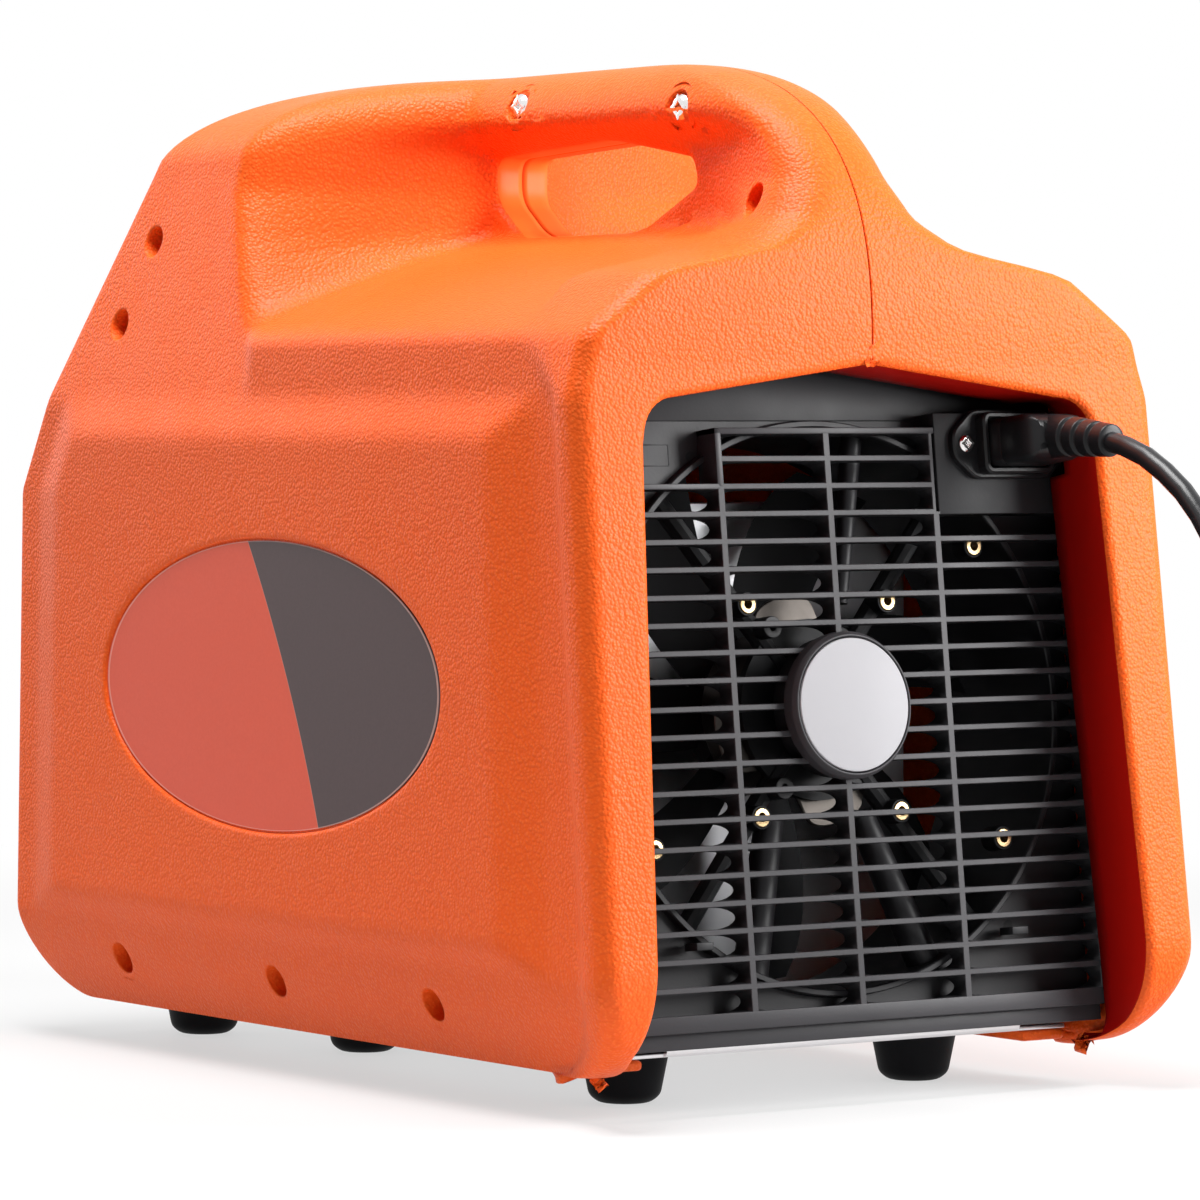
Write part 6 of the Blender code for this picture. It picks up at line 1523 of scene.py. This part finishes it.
def build_base():
    """Sheet with a rolled rear lip: its section runs along the sheet and turns up at the rear."""
    form = Form()
    form.grid(box_points((-BASE_HALF, BASE_FRONT, BASE_LOW), (BASE_HALF, BASE_REAR - 0.002, BASE_TOP),
                         0.0004), round_cols=True)
    turn = np.linspace(0, np.pi / 2, 7)
    bend = 0.0022
    cy, cz = BASE_REAR - bend, BASE_LOW + bend
    outer = [(BASE_REAR - 0.006, BASE_LOW)] + [(cy + bend * math.sin(a), cz - bend * math.cos(a))
                                               for a in turn]
    crest = [(BASE_REAR, LIP_TOP - 0.0006), (BASE_REAR - 0.0004, LIP_TOP),
             (BASE_REAR - 0.0011, LIP_TOP), (BASE_REAR - 0.0015, LIP_TOP - 0.0005)]
    inner = [(cy + (bend - 0.0015) * math.sin(a), cz - (bend - 0.0015) * math.cos(a))
             for a in turn[::-1]] + [(BASE_REAR - 0.006, BASE_TOP - 0.0001)]
    section = np.array(outer + crest + inner)
    x = np.array([-LIP_HALF, -LIP_HALF + 0.0004, LIP_HALF - 0.0004, LIP_HALF])
    shrink = np.array([0.92, 1.0, 1.0, 0.92])[:, None, None]
    middle = section.mean(axis=0)
    flat = middle + (section[None] - middle) * shrink
    rows = np.concatenate([np.broadcast_to(x[:, None, None], (4, len(section), 1)), flat], axis=2)
    ends = rows.mean(axis=1, keepdims=True).repeat(len(section), axis=1)
    form.grid(np.concatenate([ends[:1], rows, ends[-1:]]), round_cols=True)
    plate = form.make("base_sheet", [FINISH["steel"]], smooth=35)
    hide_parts("base_plate")
    profile = rounded_profile(((0, 0), (0.0088, 0.0), (0.0122, 0.0026), (0.0155, 0.0192),
                               (0.0060, 0.0192), (0.0, 0.0192)), 0.0018)
    for row, (x, y) in FEET.items():
        for hand, side in (("right", 1), ("left", -1)):
            foot = Form().grid(turned(profile, (np.eye(3), np.array((side * x, y, 0.0))), 56),
                               round_cols=True)
            foot = foot.make(f"rubber_foot_{row}_{hand}", [FINISH["rubber"]])
            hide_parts(f"foot_{row}_{hand}")


# Operator's side: gauges, valves, ports, switch and breaker

FACE = -0.172
GAUGE_CENTRE, GAUGE_SPREAD, GAUGE_RADIUS = 0.268, 0.043, 0.031
VALVE_HEIGHT, VALVE_SPREAD, PORT_HEIGHT = 0.165, 0.052, 0.105
KNOB_RADIUS, SELECTOR_RADIUS, KNOB_LENGTH, STEM_RADIUS = 0.017, 0.020, 0.018, 0.004
SWITCH_CENTRE, BREAKER_CENTRE = (-0.030, 0.058), (0.030, 0.058)
SLANT_NORMAL = np.array((0.0, -1.0, SLANT)) / math.hypot(1.0, SLANT)


def on_panel(x, z):
    """A frame on the upright part of the operator's panel, own Z out of it."""
    return basis((x, FACE, z), (0.0, -1.0, 0.0))


def on_slant(x):
    """A frame on the slanted part of the panel, at the height of the gauges."""
    return basis((x, FACE + SLANT * (GAUGE_CENTRE - SLANT_START), GAUGE_CENTRE), SLANT_NORMAL)


def shifted(where, x, y, z=0.0, angle=0.0):
    """The frame moved in its own plane, then turned about its own Z."""
    turn, origin = where
    c, s = math.cos(angle), math.sin(angle)
    return turn @ np.array([[c, -s, 0], [s, c, 0], [0, 0, 1.0]]), origin + turn @ (x, y, z)


def tick(form, where, angle, radius, length, width, level, kind):
    """A thin raised mark that points at the centre; the angle runs clockwise from the top."""
    place = shifted(where, radius * math.sin(angle), radius * math.cos(angle), level, -angle)
    form.grid(block((width / 2, length / 2, 0.00012), place, 0.00004), round_cols=True, kind=kind)


def build_gauges():
    """Two round gauges: bezel, dial with a coloured band and 41 marks, lens and pointer."""
    chrome, white, black = FINISH["chrome"], FINISH["dial"], FINISH["black"]
    rim, inside, back = GAUGE_RADIUS + 0.0015, GAUGE_RADIUS - 0.002, GAUGE_RADIUS - 0.0015
    for name, side, band in (("low", -1, FINISH["blue"]), ("high", 1, FINISH["red"])):
        where = on_slant(side * GAUGE_SPREAD)
        form = Form()
        bezel = rounded_profile(((inside, 0.0016), (inside, 0.0065), (rim - 0.0012, 0.0068),
                                 (rim, 0.0050), (rim, 0.0003), (back, 0.0003), (back, 0.0012),
                                 (inside, 0.0016)), 0.0007)
        form.grid(turned(bezel, where, 96), True, True)
        case = rounded_profile(((0, -0.022), (back, -0.022), (back, 0.0002), (inside + 0.0002, 0.0016),
                                (0, 0.0016)), 0.0006)
        form.grid(turned(case, where, 72), round_cols=True, kind=1)
        for inner, outer, kind in ((0.0, 0.0268, 2), (0.0247, 0.0266, 3)):
            level = 0.0018 if kind == 2 else 0.00188
            ring = ((inner, 0.0016), (outer, 0.0016), (outer, level), (inner, level),
                    (inner, 0.0016))
            form.grid(turned(ring, where, 96), True, True, kind)
        for mark in range(41):
            major = mark % 5 == 0
            angle = math.radians(-135 + 270 * mark / 40)
            tick(form, where, angle, 0.0224 if major else 0.0232, 0.0036 if major else 0.0018,
                 0.0007 if major else 0.0003, 0.00188, 1)
        gauge = form.make(f"gauge_{name}_body", [chrome, black, white, band], smooth=35)
        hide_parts(f"gauge_{name}")
        lens = rounded_profile(((0, 0.0040), (inside - 0.0004, 0.0035), (inside - 0.0004, 0.0052),
                                (0.018, 0.0060), (0, 0.0062)), 0.0002)
        lens = Form().grid(turned(lens, where, 96), round_cols=True)
        lens = lens.make(f"gauge_{name}_lens", [FINISH["glass"]])
        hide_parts(f"gauge_{name}_glass")
        form = Form()
        turn = math.radians(225)
        place = shifted(where, 0, 0, 0, turn)
        outline = np.array([(-0.0050, -0.0009), (0.0, -0.0007), (0.0205, -0.0002), (0.0205, 0.0002),
                            (0.0, 0.0007), (-0.0050, 0.0009)])
        form.grid(lofted(outline, ((0.0021, 0.00004), (0.0022, 0), (0.0026, 0), (0.0027, 0.00004)),
                         place), round_cols=True)
        boss = rounded_profile(((0, 0.0020), (0.0026, 0.0020), (0.0026, 0.0030), (0, 0.0031)), 0.0004)
        form.grid(turned(boss, where, 32), round_cols=True, kind=1)
        needle = form.make(f"pointer_{name}", [FINISH["needle"], black], body=f"needle_{name}")
        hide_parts(f"needle_{name}")


def build_knob(name, x, radius, look, body):
    """Fluted skirt with a grip bar across it and a pale line that shows where it stands."""
    where = on_panel(x, VALVE_HEIGHT)
    start = 0.0006
    top = start + KNOB_LENGTH
    profile = rounded_profile(((0, -0.003), (STEM_RADIUS, -0.003), (STEM_RADIUS, start),
                               (radius, start), (radius, start + 0.0045), (radius * 0.90, start + 0.0066),
                               (radius * 0.60, start + 0.0075), (0, start + 0.0085)), 0.0008)

    def flute(turn, height):
        rim = ease((height - start - 0.0004) / 0.0006) * ease((start + 0.0052 - height) / 0.0008)
        return 1 - 0.030 * rim * (0.5 + 0.5 * np.cos(28 * turn)) ** 2

    form = Form().grid(turned(profile, where, 224, flute), round_cols=True)
    reach = radius * 0.92
    low = start + 0.0040
    centre = shifted(where, 0, 0, (low + top) / 2)
    form.grid(block((0.0034, reach, (top - low) / 2), centre, 0.0009, 0.0026, 5), round_cols=True)
    line = shifted(where, 0, reach * 0.55, top)
    form.grid(block((0.0006, reach * 0.34, 0.0003), line, 0.0001), round_cols=True, kind=1)
    knob = form.make(name, [look, FINISH["dial"]], body=body, smooth=35)
    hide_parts(body)


def build_ports():
    """Two flare ports: a hexagon, then ten turns of thread and a hollow nose."""
    for name, side in (("inlet", -1), ("outlet", 1)):
        where = on_panel(side * VALVE_SPREAD, PORT_HEIGHT)
        form = Form()
        hexagon = np.array([(math.cos(a), math.sin(a)) for a in np.radians(np.arange(6) * 60)])
        flat = round_corners(hexagon * 0.0094, 0.0008, 5, 8)
        form.grid(lofted(flat, ((0.0003, 0.0003), (0.0006, 0), (0.0036, 0), (0.0040, 0.0006)), where),
                  round_cols=True)
        rows = [(0.0, -0.003), (0.0060, -0.003), (0.0060, 0.0055)]
        for turn in range(10):
            low = 0.0060 + turn * 0.0013
            rows += [(0.0056, low), (0.0061, low + 0.0005), (0.0061, low + 0.0008),
                     (0.0056, low + 0.0012)]
        rows += [(0.0056, 0.0192), (0.0050, 0.0200), (0.0038, 0.0200), (0.0029, 0.0190),
                 (0.0029, 0.0080), (0.0, 0.0080)]
        form.grid(turned(rows, where, 48), round_cols=True)
        port = form.make(f"{name}_fitting", [FINISH["brass"]], smooth=30)
        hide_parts(f"{name}_port")


def stepped(rows, where):
    """Rounded rectangles (half x, half y, corner radius, height) joined one after another."""
    points = []
    for half_x, half_y, radius, height in rows:
        ring = rounded_rectangle(half_x, half_y, radius, 5) if radius else np.zeros((24, 2))
        points.append(np.column_stack([ring, np.full(len(ring), height)]))
    return placed(np.stack(points), where)


def build_switch():
    """A frame with a well, and a rocker with a bowed face that leans to one side."""
    x, z = SWITCH_CENTRE
    where = on_panel(x, z)
    rows = ((0, 0, 0, -0.018), (0.0104, 0.0139, 0.001, -0.018), (0.0104, 0.0139, 0.001, 0.0003),
            (0.0125, 0.0160, 0.0016, 0.0003), (0.0125, 0.0160, 0.0016, 0.0016),
            (0.0120, 0.0155, 0.0014, 0.0022), (0.0092, 0.0129, 0.0009, 0.0022),
            (0.0088, 0.0125, 0.0007, 0.0018), (0.0088, 0.0125, 0.0007, -0.0062), (0, 0, 0, -0.0062))
    body = Form().grid(stepped(rows, where), round_cols=True)
    body = body.make("switch_body", [FINISH["black"]], smooth=30)
    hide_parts("power_switch_frame")
    tilt = math.radians(8.0)
    half = 0.0112
    bow = np.linspace(-1, 1, 15)
    face = np.column_stack([-0.0024 - 0.0010 * bow[::-1] ** 2, half * bow[::-1]])
    outline = np.concatenate([[(0.0032, -half), (0.0032, half)], face])
    y = outline[:, 0] * math.cos(tilt) + outline[:, 1] * math.sin(tilt)
    up = -outline[:, 0] * math.sin(tilt) + outline[:, 1] * math.cos(tilt)
    place = basis((x, FACE - 0.001, z), (1.0, 0.0, 0.0))
    form = Form().grid(lofted(np.column_stack([y, up]), ((-0.0085, 0.0004), (-0.0081, 0),
                                                        (0.0081, 0), (0.0085, 0.0004)), place),
                       round_cols=True)
    rocker = form.make("switch_rocker", [FINISH["rocker"]], body="power_switch_rocker", smooth=30)
    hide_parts("power_switch_rocker")


def build_breaker():
    """A round collar with a pale push button in it."""
    where = on_panel(*BREAKER_CENTRE)
    body = rounded_profile(((0, -0.013), (0.0076, -0.013), (0.0076, 0.0003), (0.0096, 0.0003),
                            (0.0096, 0.0020), (0.0058, 0.0020), (0.0058, -0.0085), (0, -0.0085)),
                           0.0005)
    body = Form().grid(turned(body, where, 64), round_cols=True)
    body = body.make("breaker_collar", [FINISH["black"]])
    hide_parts("breaker_body")
    cap = rounded_profile(((0, -0.0045), (0.0055, -0.0045), (0.0055, 0.0048), (0.0044, 0.0055),
                           (0, 0.0057)), 0.0007)
    cap = Form().grid(turned(cap, where, 48), round_cols=True)
    cap = cap.make("breaker_cap", [FINISH["dial"]], body="breaker_button")
    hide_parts("breaker_button")


def build_panel_marks():
    """Raised marks round the knobs: two for a valve's ends, five for the selector's places."""
    form = Form()
    for x, radius, angles in ((-VALVE_SPREAD, KNOB_RADIUS, (0, 90)), (VALVE_SPREAD, KNOB_RADIUS, (0, 90)),
                              (0.0, SELECTOR_RADIUS, (0, 45, 90, 135, 180))):
        for angle in angles:
            tick(form, on_panel(x, VALVE_HEIGHT), math.radians(angle), radius + 0.0032, 0.0030,
                 0.0010, 0.0001, 0)
    marks = form.make("knob_marks", [FINISH["dial"]])


# Finishes of the pieces inside, which keep the construction model's forms

def dress_inside():
    looks = {
        "panel": ("control_panel",),
        "cast": ("crankcase", "cylinder_left", "cylinder_right", "valve_manifold"),
        "fins": ("condenser",),
        "copper": ("suction_pipe", "discharge_pipe", "liquid_pipe"),
        "black": ("pump_motor",),
        "steel": ("drive_shaft",),
    }
    for look, names in looks.items():
        for name in names:
            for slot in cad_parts[name].material_slots:
                slot.material = FINISH[look]


build_camera()
build_wall_plug()
build_coil_tie()
build_cord()
build_studio()
build_case()
build_grille()
build_duct()
build_fan()
build_inlet()
build_screws()
build_label()
build_base()
build_gauges()
build_knob("inlet_knob", -VALVE_SPREAD, KNOB_RADIUS, FINISH["blue"], "inlet_valve_knob")
build_knob("outlet_knob", VALVE_SPREAD, KNOB_RADIUS, FINISH["red"], "outlet_valve_knob")
build_knob("selector_knob", 0.0, SELECTOR_RADIUS, FINISH["black"], "mode_selector_knob")
build_ports()
build_switch()
build_breaker()
build_panel_marks()
dress_inside()
